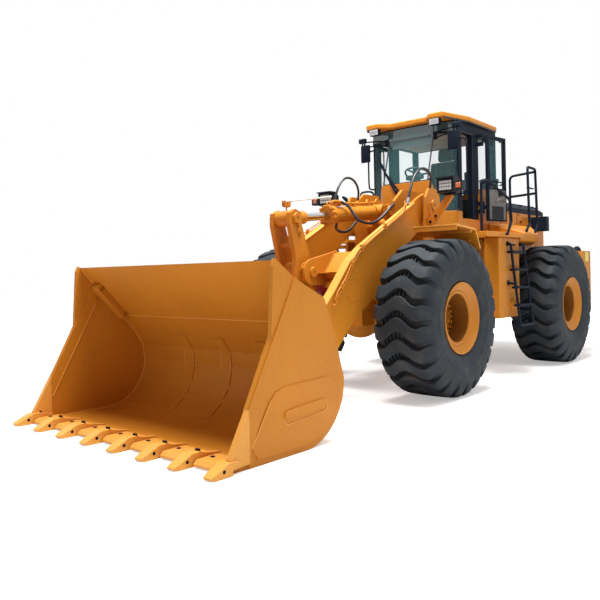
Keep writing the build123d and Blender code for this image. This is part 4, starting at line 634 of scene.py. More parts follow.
STRIPS = (-0.62, -0.02, 0.58)
STRIP_HALF = 0.07
for y in STRIPS:
    plate(bowl_line(0.01) + bowl_line(-0.003)[::-1], y - STRIP_HALF, y + STRIP_HALF)
made("bowl_wear_strips", "bucket", BUCKET_PAINT, 0.002)
line = bowl_line(0.004)
for y in (middle + edge for middle in STRIPS for edge in (-STRIP_HALF, STRIP_HALF)):
    for stitch in ((1, 3), (7, 8), (11, 12), (-3, -1)):
        bead([(line[point][0], y, line[point][1]) for point in stitch], 0.006)
for _ in sides():
    line = [(3.188, 1.597), (2.662, 1.055), (2.484, 0.846), (2.388, 0.702)]
    line += bowl_line(0.002, 184, 268, 20)[2:] + [(3.42, 0.028)]
    for y, width, points in (           # outward place, width and line of each bead
            (1.4585, 0.008, line), (1.508, 0.006, [(3.297, 0.49), (3.52, 0.155)]),
            (1.4495, 0.005, [(3.02, 1.19), (3.545, 0.245)]),
            (1.502, 0.005, [(2.872, 1.372), (3.029, 1.095), (3.204, 0.802), (3.545, 0.1)])):
        bead([(x, y, z) for x, z in points], width)
    slot_ends = arc(3.105, 0.309, 0.046, [22.5 * step - 94 for step in range(9)])
    slot_ends += arc(2.64, 0.342, 0.046, [22.5 * step + 86 for step in range(9)])
    bead([(x, 1.5095, z) for x, z in slot_ends + slot_ends[:1]], 0.0045)
bead([(2.668, -1.45, 1.055), (2.668, 1.45, 1.055)], 0.005)
made("bucket_welds", "bucket", EDGE_HIGHLIGHT_PAINT)
for _ in sides():
    ends = [(3.02, 1.385, 1.385), (2.7, 1.385, 1.058)]
    bar(ends, OUT, 0.13, 0.09)
    for x, y, z in ends:
        rod((x, y + 0.065, z), (x, y - 0.065, z), 0.045, 20)
made("corner_gussets", "bucket", BUCKET_PAINT, 0.006)
for _ in sides():
    pin_head((2.17, 0.455, 0.4), 0.085, 0.03, (0, -1, 0))
    pin_head((2.17, 0.659, 0.4), 0.085, 0.03)
    pin_head((2.235, 0.112, 0.79), 0.078, 0.028)
    keeper((2.1, 0.659, 0.5), (-1, 0, -0.2), 0.07)
made("bucket_pin_heads", "bucket", ORANGE, 0.002)
for y in (-1.1, -0.28, 0.28, 1.1):
    plate([(2.33, 0.6), (2.3, 0.9), (2.52, 1.27), (2.56, 1.2), (2.45, 0.88), (2.36, 0.6)],
                y - 0.012, y + 0.012)
made("bucket_back_ribs", "bucket", ORANGE, 0.003)

# ---- boom ----
PIPE_OUT, FLANGE_OUT = 0.628, 0.557     # outward places on the arms
ARM_LINE = [(-0.1, 2.235), (0.3, 2.045), (0.62, 1.885), (0.8, 1.775), (0.92, 1.68), (1.00, 1.575),
            (1.09, 1.44), (1.2, 1.325), (1.29, 1.235)]
for side in sides():
    route = [(-0.2, 0.585, 2.4), (-0.18, PIPE_OUT, 2.33)] + [(x, PIPE_OUT, z - 0.01) for x, z in ARM_LINE]
    route += [(1.315, PIPE_OUT, 1.16), (1.345, PIPE_OUT, 1.13), (1.36, 0.61, 1.15)]
    twin = [(x + 0.012, y, z + 0.034) for x, y, z in route[1:-2]]
    run_pipes("arm_grease_pipes_" + side, [route, twin], 0.009, "boom", ORANGE, 4)
    for x, z in ARM_LINE[1:-1:2]:
        box((x - 0.014, 0.603, z - 0.03), (x + 0.022, 0.642, z + 0.045))
    made("pipe_clamps_" + side, "boom", ORANGE, 0.004)
for _ in sides():
    pin_head((1.26, 0.262, 1.51), 0.062, 0.022)
    for y in (0.514, 0.6):
        ring((0.95, y, 1.3), OUT, [(0.128, -0.004), (0.142, -0.004), (0.138, 0.006), (0.128, 0.006)], 40)
    pin_head((0.6, 0.504, 1.27), 0.07, 0.006)
made("boom_pin_heads", "boom", ORANGE, 0.002)
for _ in sides():
    cheek = arc(1.26, 1.51, 0.155, range(-100, 73, 12)) + [(0.8, 1.765), (0.68, 1.62), (0.74, 1.36)]
    plate(cheek, 0.236, 0.262)
    beam = [(1.065, 1.505), (0.86, 1.725), (0.8, 1.745), (0.7, 1.6), (0.76, 1.42), (1.02, 1.42)]
    plate(beam, 0.262, 0.513)
    box((1.205, 0.262, 1.49), (0.84, 0.335, 1.506))
    bead([(1.07, 0.266, 1.508), (0.865, 0.266, 1.73)], 0.008)
made("crank_bracket", "boom", ORANGE, 0.006)
for _ in sides():
    line = (-0.42, 2.392), (0.76, 1.794), (1.01, 1.624), (1.3, 1.304), (2.06, 0.564)
    bar([(x, FLANGE_OUT, z) for x, z in line], OUT, 0.108, 0.016)
made("boom_top_flanges", "boom", EDGE_HIGHLIGHT_PAINT, 0.003)
plate([(0.985, 1.19), (1.03, 1.31), (1.21, 1.36), (1.225, 1.3), (1.1, 1.17)], 0.275, 0.315)
made("boom_stop_block", "boom", RED_OXIDE, 0.004)

# ---- bellcrank with its level indicator ----
CRANK_TOP = 1.43                        # the upper pin's place along the machine
for _ in sides():
    pin_head((CRANK_TOP, 0.174, 2.13), 0.062, 0.024)
    keeper((1.405, 0.16, 2.05), (-0.35, 0, -1), 0.11)
    pin_head((1.5, 0.159, 0.61), 0.06, 0.024)
    bead([(1.455, 0.158, 1.2), (1.545, 0.158, 1.2)], 0.004)
rod((CRANK_TOP, -0.098, 2.13), (CRANK_TOP, 0.098, 2.13), 0.05, 32)
box((1.335, -0.1, 1.8), (1.42, 0.1, 1.85))
box((1.38, -0.1, 0.98), (1.45, 0.1, 1.03))
made("crank_pin_heads", "bellcrank", ORANGE, 0.002)
rod((CRANK_TOP, 0.02, 2.21), (CRANK_TOP, 0.02, 2.3), 0.008, 12)
box((1.395, 0.002, 2.262), (1.465, 0.038, 2.272))
for y in (0, 0.034):
    plate([(1.375, 2.27), (1.375, 2.335), (1.4, 2.335), (1.43, 2.3), (1.46, 2.335), (1.485, 2.335),
                 (1.485, 2.27)], y, y + 0.006)
rod((CRANK_TOP, -0.006, 2.3), (CRANK_TOP, 0.046, 2.3), 0.007, 12)
made("indicator_bracket", "tilt_rod", ORANGE, 0.001)
rod((1.47, 0.02, 2.324), (0.6, 0.02, 2.447), 0.0095, 12)
rod((0.64, 0.02, 2.44), (0.595, 0.02, 2.448), 0.013, 12)
rod((0.618, 0.02, 2.443), (0.612, 0.02, 2.32), 0.008, 12)
made("level_indicator", "tilt_barrel", INDICATOR_PAINT)

# ---- tilt cylinder ----
TILT_FOOT, TILT_HEAD = Vector((-0.5, 0, 2.33)), Vector((CRANK_TOP, 0, 2.13))
tilt_run = (TILT_HEAD - TILT_FOOT).normalized()
tilt_up = Vector((-tilt_run.z, 0, tilt_run.x))
GLAND, GLAND_LOBES = 0.112, 12


def on_tilt(*places):
    """Places on the tilt cylinder: along it, out from its middle line on top, and sideways."""
    return [TILT_FOOT + tilt_run * along + tilt_up * out + Vector((0, y, 0)) for along, out, y in places]


def collar(along, outline, segments=64):
    ring(TILT_FOOT + tilt_run * along, tilt_run, outline, segments)


collar(1.135, [(0.052, 0), (0.116, 0), (0.12, 0.004), (0.12, 0.038), (0.116, 0.042), (0.052, 0.042)])
for step in range(GLAND_LOBES):
    turn = 2 * pi * (step + 0.5) / GLAND_LOBES
    low, high = on_tilt(*[(along, GLAND * sin(turn), GLAND * cos(turn)) for along in (1.135, 1.181)])
    rod(low, high, 0.025, 18)
    bolt(high, tilt_run, 0.015, 0.016)
collar(1.08, [(0.098, 0), (0.122, 0), (0.126, 0.004), (0.126, 0.054), (0.098, 0.054)])
collar(0.19, [(0.09, 0), (0.113, 0.004), (0.113, 0.03), (0.09, 0.034)])
for _ in sides():
    pin_head((-0.5, 0.162, 2.33), 0.07, 0.028)
made("tilt_gland", "tilt_barrel", ORANGE, 0.0015)
for along in (0.3, 0.62, 0.94):
    bar(on_tilt((along, 0.118, 0), (along + 0.035, 0.118, 0)), OUT, 0.11, 0.034)
    bolt(*on_tilt((along + 0.017, 0.134, 0)), tilt_up, 0.009, 0.01)
made("tilt_pipe_clamps", "tilt_barrel", ORANGE, 0.004)
run_pipes("tilt_pipes", [
    on_tilt((1.05, 0.08, 0.035), (1.06, 0.145, 0.035), (1.0, 0.15, 0.035), (0.5, 0.122, 0.035),
            (0.22, 0.122, 0.035), (0.14, 0.13, 0.035), (0.1, 0.17, 0.03)),
    on_tilt((1.11, 0.1, -0.03), (1.12, 0.165, -0.03), (1.05, 0.165, -0.035), (0.9, 0.122, -0.035),
            (0.3, 0.122, -0.035), (0.24, 0.13, -0.035), (0.2, 0.17, -0.06))], 0.0125, "tilt_barrel", ORANGE)
run_pipes("tilt_feed_pipe", [
    on_tilt((1.1, 0.1, 0.025), (1.11, 0.158, 0.03), (1.06, 0.172, 0.045), (0.99, 0.168, 0.06),
            (0.93, 0.15, 0.07))], 0.0175, "tilt_barrel", ORANGE)
ring(TILT_HEAD - tilt_run * 0.32, tilt_run,
           [(0.049, 0), (0.074, 0), (0.078, 0.006), (0.078, 0.16), (0.092, 0.24), (0.049, 0.24)], 48)
ring((CRANK_TOP, -0.094, 2.13), OUT,
           [(0, 0), (0.089, 0), (0.092, 0.003), (0.092, 0.185), (0.089, 0.188), (0, 0.188)], 48)
made("tilt_rod_clevis", "tilt_rod", ORANGE, 0.002)

# ---- lift cylinders ----
LIFT_FOOT, LIFT_HEAD = Vector((-1.12, 0.426, 1.16)), Vector((0.6, 0.426, 1.27))
lift_run = (LIFT_HEAD - LIFT_FOOT).normalized()
for side in sides():
    gland = LIFT_FOOT + lift_run * 1.405
    ring(gland, lift_run,
               [(0.047, 0), (0.092, 0), (0.096, 0.004), (0.096, 0.03), (0.092, 0.034), (0.047, 0.034)], 48)
    for step in range(12):
        spoke = Matrix.Rotation(2 * pi * step / 12, 3, lift_run) @ lift_run.orthogonal().normalized()
        bolt(gland + spoke * 0.07579 + lift_run * 0.034, lift_run, 0.008, 0.0072)
    ring(LIFT_FOOT + lift_run * 1.36, lift_run,
               [(0.068, 0), (0.086, 0), (0.089, 0.004), (0.089, 0.04), (0.068, 0.04)], 48)
    made("lift_gland_" + side, "lift_barrels", ORANGE, 0.001)
    route = ((1.33, 0.07), (1.32, 0.115), (1.2, 0.095), (0.3, 0.095), (0.22, 0.12))
    run_pipes("lift_pipes_" + side, [[LIFT_FOOT + lift_run * along + up * Vector(UP) for along, up in route]],
              0.011, "lift_barrels", ORANGE, 4)
    ring(LIFT_HEAD - lift_run * 0.155, lift_run,
               [(0.044, 0), (0.062, 0), (0.066, 0.005), (0.066, 0.07), (0.044, 0.09)], 40)
    pin_head(LIFT_HEAD + Vector((0, 0.052, 0)), 0.066, 0.018)
    bolt_circle(LIFT_HEAD + Vector((0, 0.055, 0)), 0.07, 6, 0.008, 0.01)
    made("lift_rod_end_" + side, "lift_rods", ORANGE, 0.001)

# ---- front frame and tower ----
for _ in sides():
    pin_head((-0.8, 0.66, 2.38), 0.074, 0.026)
    keeper((-0.715, 0.661, 2.4), (0.05, 0, -1), 0.15)
    bead([(-0.7, 0.665, 2.1), (-0.66, 0.7, 2.12)], 0.006)
    for x, z in ((-0.6, 2.2), (-0.6, 2.08), (-0.93, 2.25), (-0.93, 1.86)):
        bolt((x, 0.659, z), OUT, 0.012, 0.014)
made("tower_pin_heads", FRONT, ORANGE, 0.002)
for _ in sides():
    bar([(-0.026, 1.396, 2.04), (-0.517, 1.396, 2.003), (-0.64, 1.396, 1.769)], OUT, 0.022, 0.02)
    bar([(-0.03, 0.806, 2.04), (-0.03, 1.405, 2.04)], AHEAD, 0.016, 0.012)
    box((-0.46, 0.83, 1.962), (-0.43, 1.38, 1.994))
    for y in (0.9, 1.1, 1.3):
        bolt((-0.48, y, 2.004), UP, 0.012, 0.012)
made("fender_edges", FRONT, EDGE_HIGHLIGHT_PAINT, 0.003)
box((-0.36, -0.3, 1.441), (0.22, 0.3, 1.47))
for x in (-0.3, -0.1, 0.1):
    for y in (-0.24, 0.24):
        bolt((x, y, 1.469), UP, 0.014, 0.016)
made("front_deck_cover", FRONT, ORANGE, 0.004)
for _ in sides():
    for x in (-0.12, 0.12):
        plate([(0.35, 0.8), (0.35, 1.35), (0.6, 1.1)], x - 0.012, x + 0.012, axis=0)
    for step in range(16):
        turn = 2 * pi * step / 16
        spoke = Vector((cos(turn), 0, sin(turn)))
        bolt(Vector((0, 0.02, HUB_Z)) + 0.279 * spoke, spoke, 0.012, 0.016)
made("front_axle_ribs", FRONT, ORANGE, 0.003)

# ---- headlamps ----
LENS_LOW, LENS_HIGH = (0.903, 2.531), (1.078, 2.653)        # outward and upward
for side in sides():
    box((-0.538, *LENS_LOW), (-0.526, *LENS_HIGH))
    made("headlamp_lens_" + side, FRONT, CLEAR_LENS, 0.004)
    box((-0.5445, 0.889, 2.517), (-0.534, 1.095, 2.668))
    for z in between(LENS_LOW[1], LENS_HIGH[1], 3):
        box((-0.531, 0.9, z - 0.004), (-0.5235, 1.081, z + 0.004))
    for y in between(LENS_LOW[0], LENS_HIGH[0], 5):
        box((-0.531, y - 0.0018, LENS_LOW[1]), (-0.5245, y + 0.0018, LENS_HIGH[1]))
    for low_y, low_z, high_y, high_z in ((0.888, 2.514, 1.096, 2.522), (0.888, 2.663, 1.096, 2.671),
                                         (0.888, 2.514, 0.896, 2.671), (1.088, 2.514, 1.096, 2.671)):
        box((-0.536, low_y, low_z), (-0.524, high_y, high_z))
    made("headlamp_bezel_" + side, FRONT, BLACK, 0.0015)
    box((-0.545, 1.138, 2.54), (-0.514, 1.21, 2.608))
    made("turn_lamp_" + side, FRONT, AMBER_LENS, 0.014, segments=4)
    for y in (0.9, 1.09):
        bolt((-0.6, y, 2.494), (0, 0, -1), 0.01, 0.014)
    bolt((-0.648, 0.7, 2.15), AHEAD, 0.014, 0.016)
    bolt((-0.648, 0.78, 2.22), AHEAD, 0.014, 0.016)
    box((-0.706, 0.93, 2.475), (-0.6, 1.06, 2.5))
    made("headlamp_bolts_" + side, FRONT, BLACK, 0.001)

# ---- hoses across the tower ----
run_pipes("far_arc_hose", [[
    (0.1, -0.33, 2.36), (0.1, -0.3, 2.5), (0.03, -0.3, 2.66), (-0.12, -0.3, 2.8), (-0.32, -0.3, 2.79),
    (-0.44, -0.3, 2.66), (-0.45, -0.33, 2.48), (-0.46, -0.36, 2.36)]], 0.0155, FRONT, HOSE)
rod((-0.318, 0.556, 2.37), (-0.345, 0.56, 2.455), 0.02, 12)
rod((-0.328, 0.556, 2.4), (-0.336, 0.558, 2.425), 0.026, 6)
made("hose_fittings", "boom", STEEL)
route = ((-0.56, 2.47), (-0.56, 2.6), (-0.6, 2.635), (-0.78, 2.66), (-0.86, 2.655), (-0.885, 2.62),
         (-0.885, 2.44))
run_pipes("tower_grab_loop", [[(x, -0.36, z) for x, z in route]], 0.014, FRONT, BLACK)


def bridging_hose(name, route, radius, second):
    """A hose along a route, made into a mesh where it lies."""
    curve = pipe_curve(name + "_route", [route], radius, HOSE, 6)
    hose = placed(name, evaluated_mesh(curve))
    bpy.data.objects.remove(curve)
    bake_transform(hose)


bridging_hose("tower_hose", [
    (-0.33, 0.555, 2.4), (-0.35, 0.56, 2.47), (-0.4, 0.56, 2.6), (-0.5, 0.56, 2.76), (-0.66, 0.56, 2.88),
    (-0.84, 0.56, 2.88), (-0.97, 0.54, 2.8), (-1.01, 0.5, 2.66), (-1.00, 0.47, 2.5), (-0.98, 0.45, 2.3)],
    0.0165, FRONT)
bridging_hose("tilt_feed_hose", on_tilt((0.955, 0.158, 0.067), (0.915, 0.145, 0.074), (0.86, 0.09, 0.13)) + [
    (0.36, 0.23, 2.17), (0.24, 0.27, 2.12), (0.08, 0.29, 2.12), (-0.12, 0.31, 2.22), (-0.32, 0.32, 2.38),
    (-0.46, 0.32, 2.44), (-0.58, 0.32, 2.43)],
    0.0185, FRONT)
bridging_hose("tilt_return_hose", on_tilt((0.92, -0.11, -0.05), (0.88, -0.16, -0.1)) + [
    (0.24, -0.18, 2.06), (0.1, -0.2, 2.03), (-0.06, -0.2, 2.06), (-0.2, -0.22, 2.15), (-0.34, -0.25, 2.22)],
    0.0185, FRONT)

# ---- cab outside ----
box((-1.142, -0.3, 2.43), (-1.134, 0.3, 2.65))
box((-1.144, -0.12, 2.5), (-1.137, 0.12, 2.508))
for y in (-0.27, 0.27):
    bolt((-1.135, y, 2.62), AHEAD, 0.008, 0.008)
made("cowl_panel", REAR, ORANGE, 0.003)
for _ in sides():
    bar([(-1.16, 0.372, 2.776), (-1.362, 0.372, 3.485)], OUT, 0.018, 0.014)
made("windscreen_seams", REAR, DARK_TRIM, 0.002)
box((-1.166, -0.37, 2.777), (-1.15, 0.37, 2.792))
for _ in sides():
    bar([(-1.3, 0.706, 2.351), (-1.41, 0.722, 2.351)], UP, 0.02, 0.02)
made("screen_seals", REAR, DARK_TRIM, 0.002)
# an opaque band over the header, with a lip beneath it: painted shade of the cab's ceiling and sunshade seen
# through the glass
box((-1.3465, -0.375, 3.458), (-1.3365, 0.375, 3.612))
box((-1.43, -0.375, 3.4515), (-1.3365, 0.375, 3.4585))
for _ in sides():
    bar([(-1.341, 0.385, 3.548), (-1.42, 0.7, 3.548)], UP, 0.128, 0.007)
made("screen_shade_band", REAR, SCREEN_SHADE_BAND, 0.002)
for side in sides():
    box((-1.138, 0.436, 3.546), (-1.124, 0.579, 3.625))
    made("roof_lamp_lens_" + side, REAR, CLEAR_LENS, 0.004)
    for z in between(3.546, 3.625, 3):
        box((-1.127, 0.438, z - 0.002), (-1.121, 0.577, z + 0.002))
    for y in between(0.436, 0.579, 4):
        box((-1.127, y - 0.002, 3.548), (-1.1215, y + 0.002, 3.623))
    made("roof_lamp_grid_" + side, REAR, STEEL)
    box((-1.2645, 0.675, 3.195), (-1.2615, 0.805, 3.425))
    made("mirror_glass_" + side, REAR, MIRROR, 0.0005)
for _ in sides():
    rounded_box((-1.262, 0.658, 3.176), (-1.222, 0.822, 3.442), 0.018)
    rounded_box((-1.272, 0.73, 3.475), (-1.218, 0.855, 3.548), 0.012, 3)
    rod((-1.242, 0.755, 3.43), (-1.242, 0.755, 3.49), 0.015, 16)
    for low, high in ((3.468, 3.49), (3.396, 3.415)):
        loop_bar([(-1.335, 0.41, low), (-1.255, 0.58, low + 0.01), (-1.242, 0.795, high)], 0.0105)
    rod((-1.253, 0.6, 3.405), (-1.253, 0.6, 3.48), 0.008, 12)
    rod((-1.242, 0.795, 3.405), (-1.242, 0.795, 3.5), 0.0105, 12)
    box((-1.352, 0.385, 3.38), (-1.325, 0.435, 3.49))
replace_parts(made("mirror_heads", REAR, BLACK), "mirrors")
for foot, tip, blade in (((-1.142, -0.134, 2.657), (-1.222, -0.434, 3.103), 0.13),
                         ((-1.142, -0.067, 2.65), (-1.196, -0.352, 2.986), 0)):
    foot, tip, ahead = Vector(foot), Vector(tip), Vector(AHEAD)
    rod(foot - 0.03 * ahead, foot + 0.018 * ahead, 0.022, 16)
    bar([foot + 0.03 * ahead, tip + 0.034 * ahead], OUT, 0.032, 0.012)
    if blade:
        reach = (tip - foot).normalized() * blade
        bar([tip - reach * 0.9 + Vector((0.016, 0.012, 0)), tip + reach + 0.005 * ahead], OUT, 0.024, 0.022)
made("wipers", REAR, BLACK, 0.002)
route = (0.715, 3.385), (0.8, 3.39), (0.835, 3.35), (0.835, 3.1), (0.835, 2.82), (0.8, 2.785), (0.715, 2.78)
run_pipes("far_grab_handle", [[(-1.45, -out, z) for out, z in route]], 0.0125, REAR, BLACK)
run_pipes("near_grab_bar", [[
    (-1.45, 0.715, 3.36), (-1.46, 0.8, 3.38), (-1.47, 0.825, 3.3), (-1.47, 0.825, 2.95),
    (-1.47, 0.825, 2.66), (-1.46, 0.8, 2.58), (-1.45, 0.715, 2.58)]], 0.0115, REAR, BLACK)
for _ in sides():
    bar([(-1.16, 0.645, 3.628), (-1.7, 0.755, 3.628), (-2.65, 0.722, 3.628)], UP, 0.02, 0.02)
made("roof_drip_edges", REAR, DARK_TRIM, 0.003)
for _ in sides():
    box((-1.5, 0.7195, 2.25), (-1.503, 0.7232, 3.47))
    box((-1.853, 0.7195, 2.26), (-1.846, 0.7232, 3.47))
    box((-1.85, 0.7195, 3.462), (-1.51, 0.7232, 3.474))
made("door_seals", REAR, DARK_TRIM, 0.002)
box((-1.505, -0.6, 3.474), (-2.54, 0.6, 3.482))
made("roof_liner", REAR, LINER, 0.003)

# ---- doors: x runs along the shut door from its hinge ----
HINGE_X, HINGE_Y, OPEN_SWING = -2.01, 0.806, radians(172)


def on_leaf(piece, finish, edge=0, routes=None):
    """A fitting, or pipes along routes, on the door in hand."""
    name, body = f"door_{piece}_{side}", "door_" + side
    if routes:
        run_pipes(name, routes, 0.0105, body, finish, moved=leaf)
    else:
        made(name, body, finish, edge, moved=leaf)


PULL = [(0.19, 0.735, 2.5), (0.19, 0.7, 2.505), (0.21, 0.69, 2.53), (0.29, 0.69, 2.555),
        (0.37, 0.69, 2.53), (0.39, 0.7, 2.505), (0.39, 0.735, 2.5)]
UPRIGHT_BAR = [(0.34, y, z) for y, z in (
    (0.745, 3.4), (0.705, 3.4), (0.695, 3.37), (0.695, 3.1), (0.695, 2.8), (0.705, 2.76), (0.745, 2.755))]
LEVEL_BAR = [(0.04, 0.75, 2.8), *[(x, 0.7385, 2.8) for x in (0.055, 0.1, 0.3, 0.44, 0.465)],
             (0.48, 0.75, 2.8)]
SCREWS = [(x, z) for x in (0.06, 0.2, 0.34, 0.455) for z in (2.262, 2.655)]
SCREWS += [(x, z) for z in (2.36, 2.46, 2.56) for x in (0.055, 0.46)]
for side in sides():
    swing = OPEN_SWING if side == "left" else 0
    hinge = Matrix.Translation(shape.spot((HINGE_X, HINGE_Y, 0)))
    leaf = hinge @ Matrix.Rotation(swing, 4, "Z") @ Matrix.Translation(shape.spot((0, -HINGE_Y, 0)))
    box((0.1, 0.7262, 2.24), (0.4, 0.7325, 2.44))
    on_leaf("pocket", DARK_TRIM, 0.006)
    for x in (0.11 + step * 0.0233 for step in range(13)):
        box((x, 0.725, 2.25), (x + 0.006, 0.7268, 2.43))
    for z in (2.255 + step * 0.0235 for step in range(8)):
        box((0.105, 0.7243, z), (0.395, 0.7264, z + 0.006))
    on_leaf("pocket_mesh", BLACK)
    on_leaf("pull", TRIM, routes=[PULL])
    box((0.27, 0.712, 2.6), (0.37, 0.732, 2.66))
    box((0.34, 0.7, 2.618), (0.39, 0.716, 2.642))
    box((0.475, 0.735, 2.58), (0.502, 0.778, 2.7))
    on_leaf("latch", BLACK, 0.004)
    for x, z in SCREWS:
        rod((x, 0.7315, z), (x, 0.726, z), 0.006, 10)
    on_leaf("screws", BLACK)
    on_leaf("bars", BLACK, routes=[UPRIGHT_BAR, LEVEL_BAR])
    for low_x, low_z, high_x, high_z in ((0.068, 2.698, 0.452, 2.708), (0.068, 3.417, 0.452, 3.427),
                                         (0.068, 2.7, 0.078, 3.425), (0.442, 2.7, 0.452, 3.425)):
        box((low_x, 0.748, low_z), (high_x, 0.766, high_z))
    on_leaf("pane_seal", DARK_TRIM, 0.002)
    box((0.4, 0.782, 2.6), (0.47, 0.8, 2.66))
    on_leaf("outer_handle", BLACK, 0.005)

# ---- seat ----
SEAT_X = AXLE.x - 2.08
FRAMES = 20                     # length of the cloth simulation
LARGEST_SWELL = 0.024           # no place on a pad moves further than this
SEAM_REACH = 0.006              # half width of a sewn channel


def soft_pad(name, node, size, place, lean, channels):
    """A padded closed form: rounded, drawn in along its sewn channels and held on its mounting side."""
    half = Vector(size) / 2
    rounded_box(-half, half, 0.042, 5)
    core = placed(name + "_core", shape.taken(name + "_core"))
    add_modifier(core, "grid", "REMESH", mode="VOXEL", voxel_size=0.007)
    mesh = evaluated_mesh(core)
    bpy.data.objects.remove(core)
    pad = placed(name, mesh)
    sewn = pad.vertex_groups.new(name="sewn")
    for vert in mesh.vertices:
        spot = vert.co.copy()
        at_edge = max(abs(spot.x) - half.x, abs(spot.y) - half.y) > -0.01
        piping = abs(spot.z - half.z * 0.45) < SEAM_REACH and at_edge
        channel = spot.z > 0 and min(abs(spot.y - line) for line in channels) < SEAM_REACH
        if channel or piping:
            vert.co -= vert.normal * (0.011 if channel else 0.005)
        if channel or piping or spot.z < -half.z + 0.008:
            sewn.add([vert.index], 1.0, "REPLACE")
        vert.co.z += 0.012 * (1 - (spot.x / half.x) ** 2) * (1 - (spot.y / half.y) ** 2) * (spot.z > 0)
    mesh.transform(Matrix.Translation(place) @ Matrix.Rotation(lean, 4, "Y"))
    mesh.materials.clear()
    mesh.materials.append(SEAT_CLOTH)
    mesh.shade_smooth()
    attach(pad, REAR)
    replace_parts(pad, node)
    return pad


soft_pads = [
    soft_pad("seat_cushion_pad", "seat_cushion", (0.515, 0.515, 0.142), Vector((SEAT_X + 0.01, 0, 2.472)),
             0, (-0.17, -0.06, 0.06, 0.17)),
    soft_pad("seat_back_pad", "seat_back", (0.66, 0.495, 0.115), Vector((SEAT_X - 0.245, 0, 2.895)),
             radians(81), (-0.15, -0.05, 0.05, 0.15)),
    soft_pad("seat_headrest_pad", "seat_headrest", (0.205, 0.275, 0.088), Vector((SEAT_X - 0.322, 0, 3.335)),
             radians(84), (-0.3,))]
for pad in soft_pads:
    stuffing = pad.modifiers.new("stuffing", "CLOTH")
    for key, value in (("quality", 4), ("mass", 0.3), ("use_pressure", True),
                       ("uniform_pressure_force", 4), ("vertex_group_mass", "sewn")):
        setattr(stuffing.settings, key, value)
    stuffing.settings.effector_weights.gravity = 0
    stuffing.point_cache.frame_start, stuffing.point_cache.frame_end = 1, FRAMES
for step in range(1, FRAMES + 1):
    bpy.context.scene.frame_set(step)
for pad in soft_pads:
    swollen = evaluated_mesh(pad)
    for vert, was in zip(swollen.vertices, [vert.co.copy() for vert in pad.data.vertices]):
        move = vert.co - was
        if move.length > LARGEST_SWELL:
            vert.co = was + move * LARGEST_SWELL / move.length
    pad.modifiers.clear()
    pad.data = swollen
    swollen.shade_smooth()
bpy.context.scene.frame_set(1)
for pad in soft_pads:
    add_modifier(pad, "smooth", "SUBSURF", levels=1, render_levels=1)

# ---- cab inside ----
rounded_box((-1.245, -0.3, 2.62), (-1.185, 0.3, 2.745), 0.02)
rounded_box((-1.475, -0.14, 2.855), (-1.395, 0.14, 2.925), 0.02)
box((-1.21, -0.62, 2.046), (-2.58, 0.62, 2.062))
for _ in sides():
    rounded_box((-2.25, 0.275, 2.68), (-1.93, 0.345, 2.735), 0.02)
    rod((-2.22, 0.31, 2.52), (-2.22, 0.31, 2.69), 0.016, 12)
rounded_box((-2.6, -0.55, 2.08), (-2.44, 0.55, 2.62), 0.025)
made("cab_furniture", REAR, DARK_TRIM)
for step in range(3):
    rod((-1.88 - 0.06 * step, -0.38, 2.8), (-1.878 - 0.06 * step, -0.38, 2.845), 0.019, 16, 0.014)
for y in (-0.09, -0.03, 0.03, 0.09):
    rod((-1.476, y, 2.89), (-1.479, y, 2.9), 0.024, 20)
rod((-1.53, 0, 2.945), (-1.52, 0, 2.975), 0.045, 24, 0.035)
made("cab_knobs", REAR, BLACK)
bar([(-1.365, -0.34, 3.4), (-1.365, 0.34, 3.4)], (0.22, 0, 1), 0.13, 0.004)
made("sun_shade", REAR, SUN_SHADE)
box((-2.036, 0.7205, 2.245), (-2.012, 0.732, 2.62))
for z in (2.3, 2.44, 2.58):
    bolt((-2.024, 0.732, z), OUT, 0.006, 0.006)
made("jamb_strip", REAR, ORANGE, 0.002)

# ---- decks, tanks and ladders ----
RUNGS = (0.0875, 0.3375, 0.5875, 0.8375)        # shares of the ladder's height, from its top
TANK_SIDE = 1.199
for _ in sides():
    for x in (-1.44 - step * 0.07 for step in range(12)):
        box((x, 1.13, 2.0195), (x - 0.012, 1.2, 2.0245))
    for x, z in ((-2.1, 1.5), (-2.05, 0.985)):
        ring((x, TANK_SIDE, z), OUT, [(0, 0), (0.085, 0), (0.085, 0.02), (0.078, 0.026), (0.03, 0.026),
                                        (0.027, 0.034), (0, 0.034)], 40)
        bolt_circle((x, TANK_SIDE + 0.024, z), 0.066, 8, 0.007, 0.008)
    for z in (0.86, 1.9):
        box((-1.78, 1.196, z), (-2.28, 1.206, z + 0.03))
made("tank_covers", REAR, ORANGE, 0.002)
for _ in sides():
    for z in (1.31, 1.862):
        rod((-1.9, 1.203, z), (-1.9, 1.215, z), 0.035, 20)
        loop_bar([(-1.9, 1.21, z), (-1.92, 1.25, z - 0.01), (-2.0, 1.262, z - 0.02)], 0.016)
    for share in RUNGS:
        y, z = 1.26 + 0.11 * share, 1.83 - 1.0 * share
        for x in (-1.93, -1.99, -2.05, -2.11, -2.17, -2.23, -2.27):
            box((x - 0.006, y - 0.055, z + 0.014), (x + 0.006, y + 0.025, z + 0.02))
made("ladder_treads", REAR, BLACK, 0.001)

